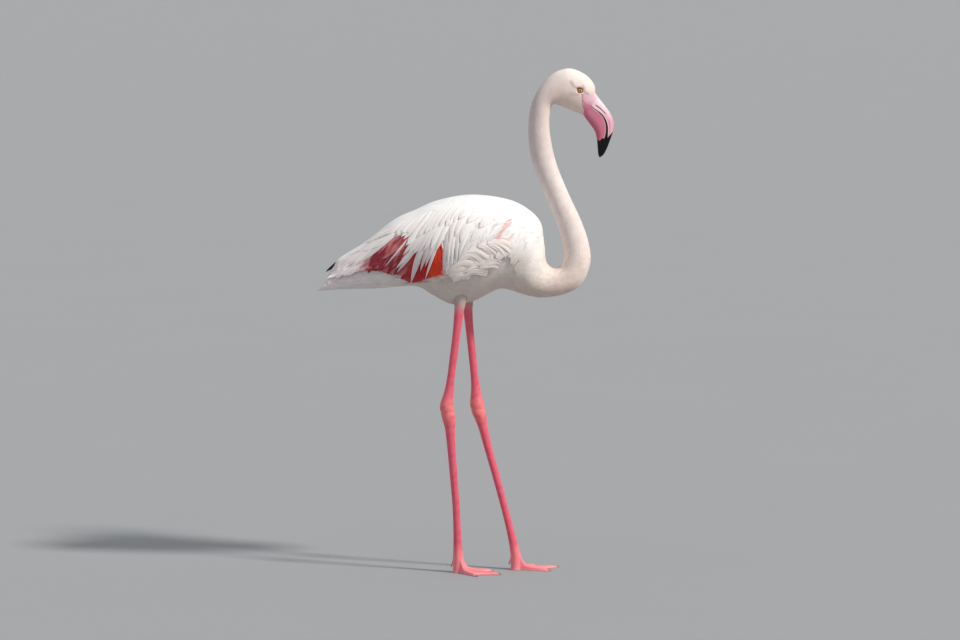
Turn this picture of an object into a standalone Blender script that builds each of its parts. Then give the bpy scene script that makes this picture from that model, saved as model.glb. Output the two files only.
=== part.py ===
# A greater flamingo, life size, standing still in mid stride with its neck in an S.
# Metres, +Z up, +X the way the bird faces, +Y its left side. The origin is on the floor,
# below the middle of the whole bird.
#
# The head, neck, trunk and tail are one long form swept between two rails in the bird's
# middle plane: a back rail over the crown, nape and back, and a belly rail under the chin,
# breast and belly. Thin cuts part it into its named lengths.
import math
from collections import namedtuple

import bmesh
import bpy
import numpy as np
from mathutils import Matrix

# Driving dimensions
GAP = 0.0004  # left between neighbouring pieces
EYE_RADIUS = 0.0072
EYE_CENTRE = (0.2655, 0.0183, 1.1332)  # of the left eye
EYE_SOCKET_CLEARANCE = 0.0004
ORBIT_RADIUS = 0.0150  # of the ball that hollows the head a little around each eye
ORBIT_OFFSET = 0.0180  # of its centre outwards from the eye's centre
TOE_LENGTHS = {"inner": 0.083, "middle": 0.105, "outer": 0.0775}
TOE_ANGLES = {"inner": 36.0, "middle": 0.0, "outer": -34.0}  # towards the bird's middle plane
TOE_HALF_WIDTH = 0.0050
TOE_HEIGHT = 0.0098  # at its root
WEB_THICKNESS = 0.0024
ANKLE_HEIGHT = 0.0340  # where the tarsus meets the foot
CLAW_LENGTH = 0.0090
CLAW_RADIUS = 0.0026
WING_CLEARANCE = 0.0010  # between a wing and the trunk under it
WING_EDGE = 0.0022  # thickness of a wing at its edges

# Resolution of the swept forms
BODY_SIDES = 24
NECK_SIDES = 14
HEAD_SIDES = 16
LEG_SIDES = 12
BILL_SIDES = 12
BLADE_SIDES = 6

# A section lies between a point of the back rail and one of the belly rail (x, z).
# half_width is its reach to each side, and fullness shifts its widest level: above zero
# towards the back, below zero towards the belly.
Section = namedtuple("Section", "back belly half_width fullness")
BODY = {
    "bill_base": Section((0.3007, 1.1269), (0.2727, 1.0755), 0.0130, 0.10),
    "brow": Section((0.2985, 1.1450), (0.2640, 1.0798), 0.0190, 0.14),
    "eye": Section((0.2845, 1.1643), (0.2540, 1.0828), 0.0236, 0.18),
    "crown": Section((0.2600, 1.1790), (0.2400, 1.0887), 0.0268, 0.18),
    "skull_back": Section((0.2340, 1.1840), (0.2260, 1.0945), 0.0272, 0.14),
    "nape": Section((0.2005, 1.1712), (0.2125, 1.0995), 0.0256, 0.06),
    "neck_bend": Section((0.1705, 1.1395), (0.2030, 1.1010), 0.0243, 0.0),
    "throat": Section((0.1512, 1.0990), (0.1965, 1.0915), 0.0238, 0.0),
    "neck_top": Section((0.1452, 1.0500), (0.1937, 1.0520), 0.0233, 0.0),
    "neck_high": Section((0.1474, 0.9978), (0.1995, 1.0079), 0.0236, 0.0),
    "neck_mid": Section((0.1600, 0.9450), (0.2120, 0.9590), 0.0242, 0.0),
    "neck_low": Section((0.1868, 0.8820), (0.2375, 0.8960), 0.0248, 0.0),
    "neck_front": Section((0.2125, 0.8190), (0.2695, 0.8270), 0.0265, 0.0),
    "bend_in": Section((0.2252, 0.7730), (0.2867, 0.7750), 0.0290, 0.0),
    "bend_fore": Section((0.2282, 0.7480), (0.2903, 0.7300), 0.0310, 0.0),
    "bend_low": Section((0.2232, 0.7270), (0.2720, 0.6835), 0.0325, 0.0),
    "bend_under": Section((0.2110, 0.7180), (0.2350, 0.6590), 0.0335, 0.0),
    "chest_fold": Section((0.1975, 0.7207), (0.1850, 0.6493), 0.0370, 0.0),
    "chest": Section((0.1866, 0.7350), (0.1450, 0.6535), 0.0470, 0.0),
    "breast": Section((0.1829, 0.7720), (0.1050, 0.6660), 0.0660, 0.05),
    "shoulder": Section((0.1715, 0.8260), (0.0780, 0.6700), 0.0800, 0.10),
    "withers": Section((0.1265, 0.8610), (0.0480, 0.6560), 0.0890, 0.14),
    "back_front": Section((0.0700, 0.8775), (0.0150, 0.6400), 0.0940, 0.16),
    "back_mid": Section((0.0000, 0.8800), (-0.0337, 0.6334), 0.0940, 0.16),
    "loin": Section((-0.0700, 0.8620), (-0.0800, 0.6560), 0.0860, 0.14),
    "vent": Section((-0.1150, 0.8360), (-0.1120, 0.6750), 0.0770, 0.12),
    "rump": Section((-0.1600, 0.8080), (-0.1550, 0.6750), 0.0650, 0.10),
    "tail_root": Section((-0.2250, 0.7620), (-0.2200, 0.6705), 0.0440, 0.05),
    "tail_mid": Section((-0.2850, 0.7270), (-0.2800, 0.6692), 0.0315, 0.0),
    "tail_late": Section((-0.3070, 0.7120), (-0.3030, 0.6680), 0.0275, 0.0),
    "tail_end": Section((-0.3240, 0.6980), (-0.3200, 0.6670), 0.0240, 0.0),
    "tail_tip": Section((-0.3443, 0.6705), (-0.3443, 0.6655), 0.0170, 0.0),
}

# How far the folded wing stands above the trunk: over the back (dx, dz) and out to the
# side, its thickness there, where its upper edge lies (degrees from the middle of the back),
# and the share of the section's height at which its lower edge lies.
Cloak = namedtuple("Cloak", "back_lift side_lift thickness upper_edge lower_edge")
WING = {
    "shoulder": Cloak((0.0010, 0.0022), 0.0030, 0.0020, 0.0, 0.80),
    "withers": Cloak((0.0010, 0.0062), 0.0080, 0.0060, 0.0, 0.575),
    "back_front": Cloak((0.0000, 0.0075), 0.0100, 0.0085, 0.0, 0.42),
    "back_mid": Cloak((0.0000, 0.0095), 0.0110, 0.0095, 0.0, 0.23),
    "loin": Cloak((-0.0010, 0.0135), 0.0120, 0.0110, 0.0, 0.16),
    "vent": Cloak((-0.0040, 0.0185), 0.0120, 0.0120, 0.0, 0.05),
    "rump": Cloak((-0.0080, 0.0240), 0.0120, 0.0110, 0.0, 0.18),
    "tail_root": Cloak((-0.0120, 0.0165), 0.0100, 0.0060, 0.0, 0.48),
    "tail_mid": Cloak((-0.0120, 0.0145), 0.0070, 0.0030, 0.0, 0.62),
    "tail_late": Cloak((-0.0030, 0.0080), 0.0055, 0.0024, 20.0, 0.46),
    "tail_end": Cloak((-0.0060, 0.0040), 0.0045, 0.0022, 30.0, 0.30),
}
TIP_DROP = 0.045  # how far every second feather tip hangs below its neighbours, as a share

# The bill, from its base to its tip (x, z): its ridge, the line where it shuts, its keel,
# and the half widths of its two mandibles.
Bill = namedtuple("Bill", "ridge shut keel upper_half lower_half")
BILL = (
    Bill((0.3012, 1.1264), (0.2888, 1.1033), (0.2736, 1.0750), 0.0122, 0.0125),
    Bill((0.3100, 1.1140), (0.2950, 1.0935), (0.2785, 1.0680), 0.0126, 0.0138),
    Bill((0.3220, 1.0990), (0.3085, 1.0838), (0.2845, 1.0600), 0.0124, 0.0146),
    Bill((0.3350, 1.0805), (0.3190, 1.0735), (0.2915, 1.0505), 0.0116, 0.0148),
    Bill((0.3432, 1.0620), (0.3262, 1.0580), (0.2980, 1.0415), 0.0105, 0.0142),
    Bill((0.3436, 1.0450), (0.3284, 1.0420), (0.3025, 1.0300), 0.0092, 0.0128),
    Bill((0.3375, 1.0230), (0.3260, 1.0215), (0.3052, 1.0145), 0.0072, 0.0105),
    Bill((0.3285, 0.9985), (0.3190, 1.0000), (0.3065, 0.9985), 0.0048, 0.0070),
    Bill((0.3205, 0.9838), (0.3142, 0.9862), (0.3075, 0.9862), 0.0030, 0.0042),
    Bill((0.3120, 0.9766), (0.3110, 0.9782), (0.3096, 0.9790), 0.0008, 0.0010),
)
SHUT_CLEARANCE = 0.0005

# A leg is a tube of level rings along its own line (height, x, y), with half its depth fore
# and aft and half its breadth at some heights (height, half_depth, half_breadth).
LEG_LINE = {
    "right": (
        (0.700, -0.0080, -0.0350), (0.611, -0.0175, -0.0343), (0.513, -0.0293, -0.0332),
        (0.435, -0.0398, -0.0318), (0.396, -0.0455, -0.0306), (0.372, -0.0413, -0.0296),
        (0.345, -0.0382, -0.0280), (0.306, -0.0355, -0.0252), (0.239, -0.0301, -0.0201),
        (0.160, -0.0240, -0.0144), (0.101, -0.0214, -0.0102), (0.062, -0.0202, -0.0078),
        (0.034, -0.0192, -0.0060),
    ),
    "left": (
        (0.700, -0.0010, 0.0350), (0.604, 0.0048, 0.0352), (0.505, 0.0148, 0.0354),
        (0.426, 0.0225, 0.0356), (0.387, 0.0264, 0.0357), (0.363, 0.0328, 0.0358),
        (0.336, 0.0400, 0.0359), (0.296, 0.0499, 0.0360), (0.229, 0.0685, 0.0361),
        (0.149, 0.0898, 0.0362), (0.110, 0.0998, 0.0363), (0.067, 0.1100, 0.0364),
        (0.034, 0.1170, 0.0365),
    ),
}
TOES_OUT = {"right": -21.0, "left": 19.0}  # degrees each foot turns from straight ahead
LEG_SIZE = (
    (0.700, 0.0190, 0.0180), (0.655, 0.0150, 0.0140), (0.628, 0.0115, 0.0105),
    (0.600, 0.0102, 0.0094), (0.513, 0.0092, 0.0084), (0.435, 0.0106, 0.0092),
    (0.412, 0.0136, 0.0118), (0.392, 0.0166, 0.0140), (0.372, 0.0164, 0.0142),
    (0.345, 0.0120, 0.0112), (0.306, 0.0100, 0.0088), (0.239, 0.0092, 0.0079),
    (0.110, 0.0090, 0.0079), (0.062, 0.0104, 0.0092), (0.034, 0.0126, 0.0112),
)
LEG_CUTS = {  # from height, to height, rings
    "thigh": (0.700, 0.6220, 5),
    "shank": (0.6220, 0.4200, 6),
    "hock": (0.4200, 0.3440, 9),
    "tarsus": (0.3440, ANKLE_HEIGHT + GAP, 9),
}


def smooth_rows(rows, shares):
    """Rows of numbers read at shares of the way along them, on a curve through every row."""
    rows = np.asarray(rows, float)
    at = np.clip(np.asarray(shares, float), 0.0, 1.0) * (len(rows) - 1)
    left = np.minimum(at.astype(int), len(rows) - 2)
    t = (at - left)[:, None]
    padded = np.vstack([2 * rows[0] - rows[1], rows, 2 * rows[-1] - rows[-2]])
    before, start, end, after = (padded[left + k] for k in range(4))
    return (
        start * (2 * t**3 - 3 * t**2 + 1)
        + end * (3 * t**2 - 2 * t**3)
        + (end - before) / 2 * (t**3 - 2 * t**2 + t)
        + (after - start) / 2 * (t**3 - t**2)
    )


def smooth_column(at, known_at, known):
    """Values read between known ones, on a curve through every one of them."""
    at, known_at, known = (np.asarray(v, float) for v in (at, known_at, known))
    slopes = np.gradient(known, known_at)
    k = np.clip(np.searchsorted(known_at, at) - 1, 0, len(known_at) - 2)
    width = known_at[k + 1] - known_at[k]
    t = np.clip((at - known_at[k]) / width, 0, 1)
    return (
        known[k] * (2 * t**3 - 3 * t**2 + 1)
        + known[k + 1] * (3 * t**2 - 2 * t**3)
        + slopes[k] * width * (t**3 - 2 * t**2 + t)
        + slopes[k + 1] * width * (t**3 - t**2)
    )


def share_of(name):
    return list(BODY).index(name) / (len(BODY) - 1)


def body_rows(shares):
    rows = [(*s.back, *s.belly, s.half_width, s.fullness) for s in BODY.values()]
    return smooth_rows(rows, shares)


def section_points(back, belly, half_width, fullness, angles):
    """A section between two rail points: an oval, wider on the side of its fullness."""
    up = np.cos(angles)
    side = np.sin(angles) * (1 + fullness * up)
    x = (back[0] + belly[0]) / 2 + (back[0] - belly[0]) / 2 * up
    z = (back[1] + belly[1]) / 2 + (back[1] - belly[1]) / 2 * up
    return np.stack([x, half_width * side, z], axis=1)


def body_section(row, angles, grown=0.0):
    """One section of the body, moved out by grown on every side."""
    back, belly = row[0:2], row[2:4]
    across = (back - belly) / np.linalg.norm(back - belly)
    return section_points(back + across * grown, belly - across * grown, row[4] + grown, row[5], angles)


def turn(sides):
    return np.arange(sides) * 2 * math.pi / sides


def add_object(name, mesh, material, collection):
    mesh.materials.append(material)
    mesh.shade_smooth()
    mesh.set_sharp_from_angle(angle=math.radians(50))
    made = bpy.data.objects.new(name, mesh)
    collection.objects.link(made)
    return made


def tube(name, rings, material, collection):
    """A closed skin over rings of points, with a flat cap at each end."""
    sides = len(rings[0])
    points = [tuple(p) for ring in rings for p in ring]
    faces = []
    for r in range(len(rings) - 1):
        for s in range(sides):
            a, b = r * sides + s, r * sides + (s + 1) % sides
            faces.append((a, b, b + sides, a + sides))
    faces.append(tuple(reversed(range(sides))))
    faces.append(tuple(range((len(rings) - 1) * sides, len(rings) * sides)))
    mesh = bpy.data.meshes.new(name)
    mesh.from_pydata(points, [], faces)
    work = bmesh.new()
    work.from_mesh(mesh)
    bmesh.ops.recalc_face_normals(work, faces=work.faces)
    work.to_mesh(mesh)
    work.free()
    return add_object(name, mesh, material, collection)


def boolean_cut(target, cutter):
    """Subtracts the cutter, which stays as a hidden helper."""
    cutter.hide_render = True
    cutter.display_type = "WIRE"
    cut = target.modifiers.new("cut_" + cutter.name, "BOOLEAN")
    cut.operation = "DIFFERENCE"
    cut.solver = "EXACT"
    cut.object = cutter


def past_cut(share):
    """The share a little past a cut, so that the two lengths beside it stay GAP apart."""
    rows = body_rows([share, share + 1e-3])
    nearest = min(np.linalg.norm(rows[1, 0:2] - rows[0, 0:2]), np.linalg.norm(rows[1, 2:4] - rows[0, 2:4]))
    return share + 1e-3 * GAP / nearest


# Lengths of the swept form: where each starts and ends, its sections and its sides.
LENGTHS = {
    "head": ("bill_base", "neck_bend", 16, HEAD_SIDES),
    "neck_upper": ("neck_bend", "neck_high", 8, NECK_SIDES),
    "neck_middle": ("neck_high", "neck_front", 8, NECK_SIDES),
    "neck_lower": ("neck_front", "bend_low", 9, NECK_SIDES),
    "neck_base": ("bend_low", "chest", 9, NECK_SIDES + 2),
    "trunk": ("chest", "tail_root", 24, BODY_SIDES),
    "tail": ("tail_root", "tail_tip", 9, BODY_SIDES),
}


def length_shares(name):
    first, last, steps, _ = LENGTHS[name]
    start = share_of(first)
    if name != "head":
        start = past_cut(start)
    return np.linspace(start, share_of(last), steps)


def body_pieces(materials, collection):
    """Head, four lengths of neck, trunk and tail, cut from the one swept form."""
    made = {}
    for name, (_, _, _, sides) in LENGTHS.items():
        rings = [body_section(row, turn(sides)) for row in body_rows(length_shares(name))]
        made[name] = tube(name, rings, materials["down"], collection)
    return made


def ball(name, centre, radius, rings, material, collection):
    """A ball with its poles to left and right."""
    work = bmesh.new()
    bmesh.ops.create_uvsphere(work, u_segments=2 * rings, v_segments=rings, radius=radius)
    bmesh.ops.rotate(work, verts=work.verts, matrix=Matrix.Rotation(math.pi / 2, 3, "X"))
    mesh = bpy.data.meshes.new(name)
    work.to_mesh(mesh)
    work.free()
    made = add_object(name, mesh, material, collection)
    made.location = centre
    return made


def eyes(head, materials, collection, helpers):
    """Each eye in its own socket, with the head hollowed a little around it."""
    for name, side in (("eye_left", 1), ("eye_right", -1)):
        x, y, z = EYE_CENTRE
        ball(name, (x, y * side, z), EYE_RADIUS, 7, materials["eye"], collection)
        orbit = ball("orbit_" + name, (x, (y + ORBIT_OFFSET) * side, z), ORBIT_RADIUS, 10, materials["eye"], helpers)
        boolean_cut(head, orbit)
        socket_radius = EYE_RADIUS + EYE_SOCKET_CLEARANCE
        socket = ball("socket_" + name, (x, y * side, z), socket_radius, 8, materials["eye"], helpers)
        boolean_cut(head, socket)


def bill_pieces(materials, collection):
    """Both mandibles, each swept between the line where the bill shuts and its outer edge."""
    rows = [(*b.ridge, *b.shut, *b.keel, b.upper_half, b.lower_half) for b in BILL]
    rows = smooth_rows(rows, np.linspace(0, 1, 17))
    for name, upper in (("bill_upper", True), ("bill_lower", False)):
        rings = []
        for row in rows:
            ridge, shut, keel = row[0:2], row[2:4], row[4:6]
            outer = ridge if upper else keel
            reach = outer - shut
            height = np.linalg.norm(reach)
            inner = shut + reach / height * min(SHUT_CLEARANCE / 2, 0.2 * height)
            back, belly = (outer, inner) if upper else (inner, outer)
            half_width, fullness = (row[6], -0.35) if upper else (row[7], 0.22)
            rings.append(section_points(back, belly, half_width, fullness, turn(BILL_SIDES)))
        tube(name, rings, materials["bill"], collection)


def wing_rows(shares):
    """Cloak values at shares of the body, from the named stations of WING."""
    at = [share_of(name) for name in WING]
    rows = [(*w.back_lift, w.side_lift, w.thickness, w.upper_edge, w.lower_edge) for w in WING.values()]
    return smooth_rows(rows, np.interp(shares, at, np.linspace(0, 1, len(at))))


def wing_shares():
    """The trunk's and tail's own sections from the shoulder to near the tail's end."""
    every = np.concatenate([length_shares("trunk")[:-1], length_shares("tail")])
    return every[(every >= share_of("shoulder") - 0.004) & (every <= share_of("tail_end") + 0.002)]


def wing(name, side, materials, collection):
    """A folded wing: a curved shell over the trunk's side, from the back's middle to its
    lower edge, where every second column ends in a longer feather tip."""
    shares = wing_shares()
    body, cloak = body_rows(shares), wing_rows(shares)
    step = 2 * math.pi / BODY_SIDES
    rings = []
    for c, (row, cover) in enumerate(zip(body, cloak)):
        back_lift, (side_lift, thickness, upper_edge, lower_edge) = cover[0:2], cover[2:6]
        hang = TIP_DROP * (c % 2) * (0 < c < len(shares) - 1)
        lowest = math.acos(2 * float(np.clip(lower_edge - hang, 0.015, 0.97)) - 1)
        highest = max(math.radians(upper_edge), GAP / row[4])
        levels = math.ceil(math.acos(-0.9) / step)
        inside = np.clip(np.arange(1, levels) * step, highest, lowest)
        crowd = np.linspace(0, 1, levels - 1) * 0.02
        angles = np.concatenate([[highest], np.clip(inside, highest + crowd, lowest - 0.02 + crowd), [lowest]])
        rail = row.copy()
        rail[0:2] += back_lift
        rail[4] += side_lift
        under, over = body_section(row, angles, WING_CLEARANCE), body_section(rail, angles)
        reach = np.linalg.norm(over - under, axis=1)[:, None]
        away = (over - under) / np.maximum(reach, 1e-6)
        from_lower = (lowest - angles)[:, None] / step
        thin = WING_EDGE + (thickness - WING_EDGE) * np.clip(from_lower / 1.5, 0, 1)
        thin = np.maximum(thin, WING_EDGE)
        top = np.maximum(reach, thin)
        ring = np.vstack([under + away * top, (under + away * (top - thin))[::-1]])
        rings.append(ring * np.array([1, side, 1]))
    return tube(name, rings, materials["feather"], collection)


# Blades behind the folded wing, above the tail: the black flight feathers and the last white
# feather over them, as (x, z, half its height, half its thickness).
BLADES = {
    "wing_tip": (
        (-0.2560, 0.7515, 0.0042, 0.0022), (-0.2830, 0.7373, 0.0046, 0.0022),
        (-0.3050, 0.7238, 0.0042, 0.0018), (-0.3270, 0.7118, 0.0008, 0.0006),
    ),
    "wing_plume": (
        (-0.3008, 0.7408, 0.0024, 0.0024), (-0.3060, 0.7396, 0.0022, 0.0020),
        (-0.3120, 0.7383, 0.0017, 0.0015), (-0.3182, 0.7369, 0.0005, 0.0005),
    ),
}
BLADE_ASIDE = 0.0032  # from the bird's middle plane


def blade(name, side, material, collection):
    rings = []
    angles = turn(BLADE_SIDES)
    for x, z, half_height, half_thickness in smooth_rows(BLADES[name], np.linspace(0, 1, 6)):
        y = BLADE_ASIDE * (1 if side == "left" else -1) + half_thickness * np.sin(angles)
        rings.append(np.stack([np.full(BLADE_SIDES, x), y, z + half_height * np.cos(angles)], axis=1))
    return tube(f"{name}_{side}", rings, material, collection)


def leg_centre(side, heights):
    line = np.array(LEG_LINE[side])[::-1]
    return smooth_column(heights, line[:, 0], line[:, 1]), smooth_column(heights, line[:, 0], line[:, 2])


def legs(materials, collection, trunk_cutter):
    """Thigh, shank, hock and tarsus of each leg, cut level from one tube."""
    size = np.array(LEG_SIZE)[::-1]
    angles = turn(LEG_SIDES)
    for side in LEG_LINE:
        for part, (top, bottom, steps) in LEG_CUTS.items():
            heights = np.linspace(top, bottom + (0 if part == "tarsus" else GAP), steps)
            half_depths = smooth_column(heights, size[:, 0], size[:, 1])
            half_breadths = smooth_column(heights, size[:, 0], size[:, 2])
            rings = []
            for x, y, z, depth, breadth in zip(*leg_centre(side, heights), heights, half_depths, half_breadths):
                ring = (x + depth * np.cos(angles), y + breadth * np.sin(angles), np.full(LEG_SIDES, z))
                rings.append(np.stack(ring, axis=1))
            look = materials["down" if part == "thigh" else "leg"]
            made = tube(f"{part}_{side}", rings, look, collection)
            if part == "thigh":
                boolean_cut(made, trunk_cutter)


def heading(degrees):
    return np.array([math.cos(math.radians(degrees)), math.sin(math.radians(degrees))])


def foot_columns():
    """A foot's columns, from its inner toe round to the outer one and back by the heel, as
    (end, root height, end height) with +X along the middle toe and +Y towards the inner one."""
    columns = []
    toes = list(TOE_ANGLES)
    for i, toe in enumerate(toes):
        angle, length = TOE_ANGLES[toe], TOE_LENGTHS[toe]
        ahead = heading(angle)
        across = np.array([-ahead[1], ahead[0]])
        for aside, reach, high in ((1, 0.95, 0.5), (0, 1.0, 1.0), (-1, 0.95, 0.5)):
            end = ahead * length * reach + across * aside * TOE_HALF_WIDTH * 0.7
            columns.append((end, WEB_THICKNESS + TOE_HEIGHT * high, WEB_THICKNESS + 0.0030 * high))
        if i + 1 < len(toes):
            for share in (0.2, 0.5, 0.8):
                between = angle + (TOE_ANGLES[toes[i + 1]] - angle) * share
                length_here = length + (TOE_LENGTHS[toes[i + 1]] - length) * share
                reach = length_here * (0.92 - 0.22 * math.sin(math.pi * share))
                columns.append((heading(between) * reach, WEB_THICKNESS * 2.0, WEB_THICKNESS))
    for degrees in (-78, -116, -152, 180, 152, 116, 78):
        columns.append((heading(degrees) * np.array([0.0120, 0.0128]), 0.0140, 0.0060))
    return columns


def ankle(side):
    x, y = leg_centre(side, np.array([ANKLE_HEIGHT]))
    return np.array([x[0], y[0]])


def foot(side, materials, collection):
    """A webbed foot: three toes with skin between them, a heel pad and a flat sole."""
    columns = foot_columns()
    ends = np.array([c[0] for c in columns])
    root_heights, end_heights = (np.array([c[k] for c in columns]) for k in (1, 2))
    reaches = np.linalg.norm(ends, axis=1)
    directions = ends / reaches[:, None]
    collar = directions * np.array([0.0126, 0.0112])
    inward = -1 if side == "left" else 1
    rings = []
    for share in (0.0, 0.06, 0.14, 0.28, 0.46, 0.66, 0.85, 1.0):
        flat = collar + (ends - collar) * share
        toe = end_heights + (root_heights - end_heights) * (1 - share) ** 0.9
        fall = np.exp(-share * np.maximum(reaches, 0.030) / 0.0085)
        height = toe + (ANKLE_HEIGHT - toe) * fall if share else np.full(len(columns), ANKLE_HEIGHT)
        rings.append(np.column_stack([flat, height]))
    rings.append(np.column_stack([ends, np.zeros(len(columns))]))
    ahead = heading(TOES_OUT[side])
    placed = []
    for ring in rings:
        x, y = ring[:, 0], ring[:, 1] * inward
        turned = np.outer(x, ahead) + np.outer(y, [-ahead[1], ahead[0]]) + ankle(side)
        placed.append(np.column_stack([turned, ring[:, 2]]))
    return tube(f"foot_{side}", placed, materials["leg"], collection)


def spike(name, root, direction, length, radius, droop, material, collection):
    """A round spike from its root to a blunt tip, bent downwards by droop at its tip."""
    direction = np.asarray(direction, float) / np.linalg.norm(direction)
    side = np.cross([0, 0, 1], direction)
    side /= np.linalg.norm(side)
    up = np.cross(direction, side)
    angles = turn(6)
    rings = []
    for share in (0.0, 0.35, 0.7, 1.0):
        centre = np.asarray(root) + direction * length * share - np.array([0, 0, droop * share**2])
        size = radius * (1 - share) ** 0.6 + 0.0004
        rings.append(centre + np.outer(np.cos(angles), side) * size + np.outer(np.sin(angles), up) * size)
    return tube(name, rings, material, collection)


def claws(side, materials, collection):
    """A claw at the end of each toe, and the small hind toe with its own claw."""
    inward = -1 if side == "left" else 1
    middle = np.array([*ankle(side), 0.0])
    for toe, degrees in TOE_ANGLES.items():
        ahead = np.array([*heading(TOES_OUT[side] + degrees * inward), 0.0])
        root = middle + ahead * (TOE_LENGTHS[toe] + GAP)
        root[2] = CLAW_RADIUS + 0.0012
        spike(f"claw_{toe}_{side}", root, ahead, CLAW_LENGTH, CLAW_RADIUS, 0.0022, materials["claw"], collection)
    behind = -np.array([*heading(TOES_OUT[side] + 12.0 * inward), 0.0])
    hanging = behind * 0.22 + np.array([0, 0, -1.0])
    hanging /= np.linalg.norm(hanging)
    root = middle + behind * 0.0163 + np.array([0, 0, 0.0300])
    spike(f"hind_toe_{side}", root, hanging, 0.0160, 0.0030, 0.0, materials["leg"], collection)
    tip = root + hanging * (0.0160 + GAP)
    spike(f"claw_hind_{side}", tip, hanging, 0.0070, 0.0018, 0.0, materials["claw"], collection)


def make_materials():
    looks = {
        "down": ((0.90, 0.84, 0.80, 1), 0.85),
        "feather": ((0.92, 0.86, 0.83, 1), 0.70),
        "flight": ((0.02, 0.02, 0.022, 1), 0.55),
        "bill": ((0.85, 0.42, 0.50, 1), 0.40),
        "leg": ((0.83, 0.25, 0.32, 1), 0.50),
        "claw": ((0.05, 0.04, 0.04, 1), 0.45),
        "eye": ((0.85, 0.62, 0.12, 1), 0.10),
    }
    made = {}
    for name, (colour, roughness) in looks.items():
        material = bpy.data.materials.new(name)
        material.use_nodes = True
        shader = material.node_tree.nodes["Principled BSDF"]
        shader.inputs["Base Color"].default_value = colour
        shader.inputs["Roughness"].default_value = roughness
        shader.inputs["Metallic"].default_value = 0.0
        made[name] = material
    return made


def main():
    for obj in list(bpy.data.objects):
        bpy.data.objects.remove(obj)
    bird = bpy.data.collections.new("flamingo")
    helpers = bpy.data.collections.new("cutters")
    for collection in (bird, helpers):
        bpy.context.scene.collection.children.link(collection)
    materials = make_materials()
    pieces = body_pieces(materials, bird)
    eyes(pieces["head"], materials, bird, helpers)
    bill_pieces(materials, bird)
    for name, side in (("left", 1), ("right", -1)):
        wing(f"wing_{name}", side, materials, bird)
        blade("wing_tip", name, materials["flight"], bird)
        blade("wing_plume", name, materials["feather"], bird)
        foot(name, materials, bird)
        claws(name, materials, bird)
    grown = [body_section(row, turn(BODY_SIDES), GAP) for row in body_rows(length_shares("trunk"))]
    trunk_cutter = tube("trunk_cutter", grown, materials["down"], helpers)
    legs(materials, bird, trunk_cutter)


main()
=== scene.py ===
# A still, life-size greater flamingo: one skin, a coat of feathers in overlapping vanes,
# a horn bill, eyes, scaly legs and webbed feet, in the frame of its solids.
# Metres, +Z up, +X the way the bird faces, +Y its left side.
import math

import bpy
import numpy as np
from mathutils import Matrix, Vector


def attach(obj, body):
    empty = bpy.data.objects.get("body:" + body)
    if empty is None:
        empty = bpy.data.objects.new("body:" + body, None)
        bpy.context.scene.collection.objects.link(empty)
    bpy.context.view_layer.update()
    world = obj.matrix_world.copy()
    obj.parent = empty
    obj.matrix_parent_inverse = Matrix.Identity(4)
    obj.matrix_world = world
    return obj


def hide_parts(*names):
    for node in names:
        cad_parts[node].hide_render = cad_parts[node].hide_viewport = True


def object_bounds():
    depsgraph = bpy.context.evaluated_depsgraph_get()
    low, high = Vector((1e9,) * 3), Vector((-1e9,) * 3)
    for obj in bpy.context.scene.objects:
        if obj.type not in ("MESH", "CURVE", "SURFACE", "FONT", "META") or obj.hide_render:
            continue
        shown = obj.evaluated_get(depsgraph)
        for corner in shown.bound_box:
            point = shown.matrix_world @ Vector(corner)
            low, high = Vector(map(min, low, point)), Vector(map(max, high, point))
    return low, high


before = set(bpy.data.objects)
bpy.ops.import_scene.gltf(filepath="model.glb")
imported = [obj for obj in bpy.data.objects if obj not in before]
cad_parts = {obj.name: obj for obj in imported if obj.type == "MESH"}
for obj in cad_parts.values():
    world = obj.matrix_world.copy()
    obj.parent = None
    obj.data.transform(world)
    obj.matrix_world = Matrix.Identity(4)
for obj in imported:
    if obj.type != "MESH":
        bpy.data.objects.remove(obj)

cadLow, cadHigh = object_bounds()
origin = np.array([(cadLow[0] + cadHigh[0]) / 2, (cadLow[1] + cadHigh[1]) / 2, cadLow[2]])
bothSides = {"left": 1.0, "right": -1.0}


# The bird's outer form.

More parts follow.
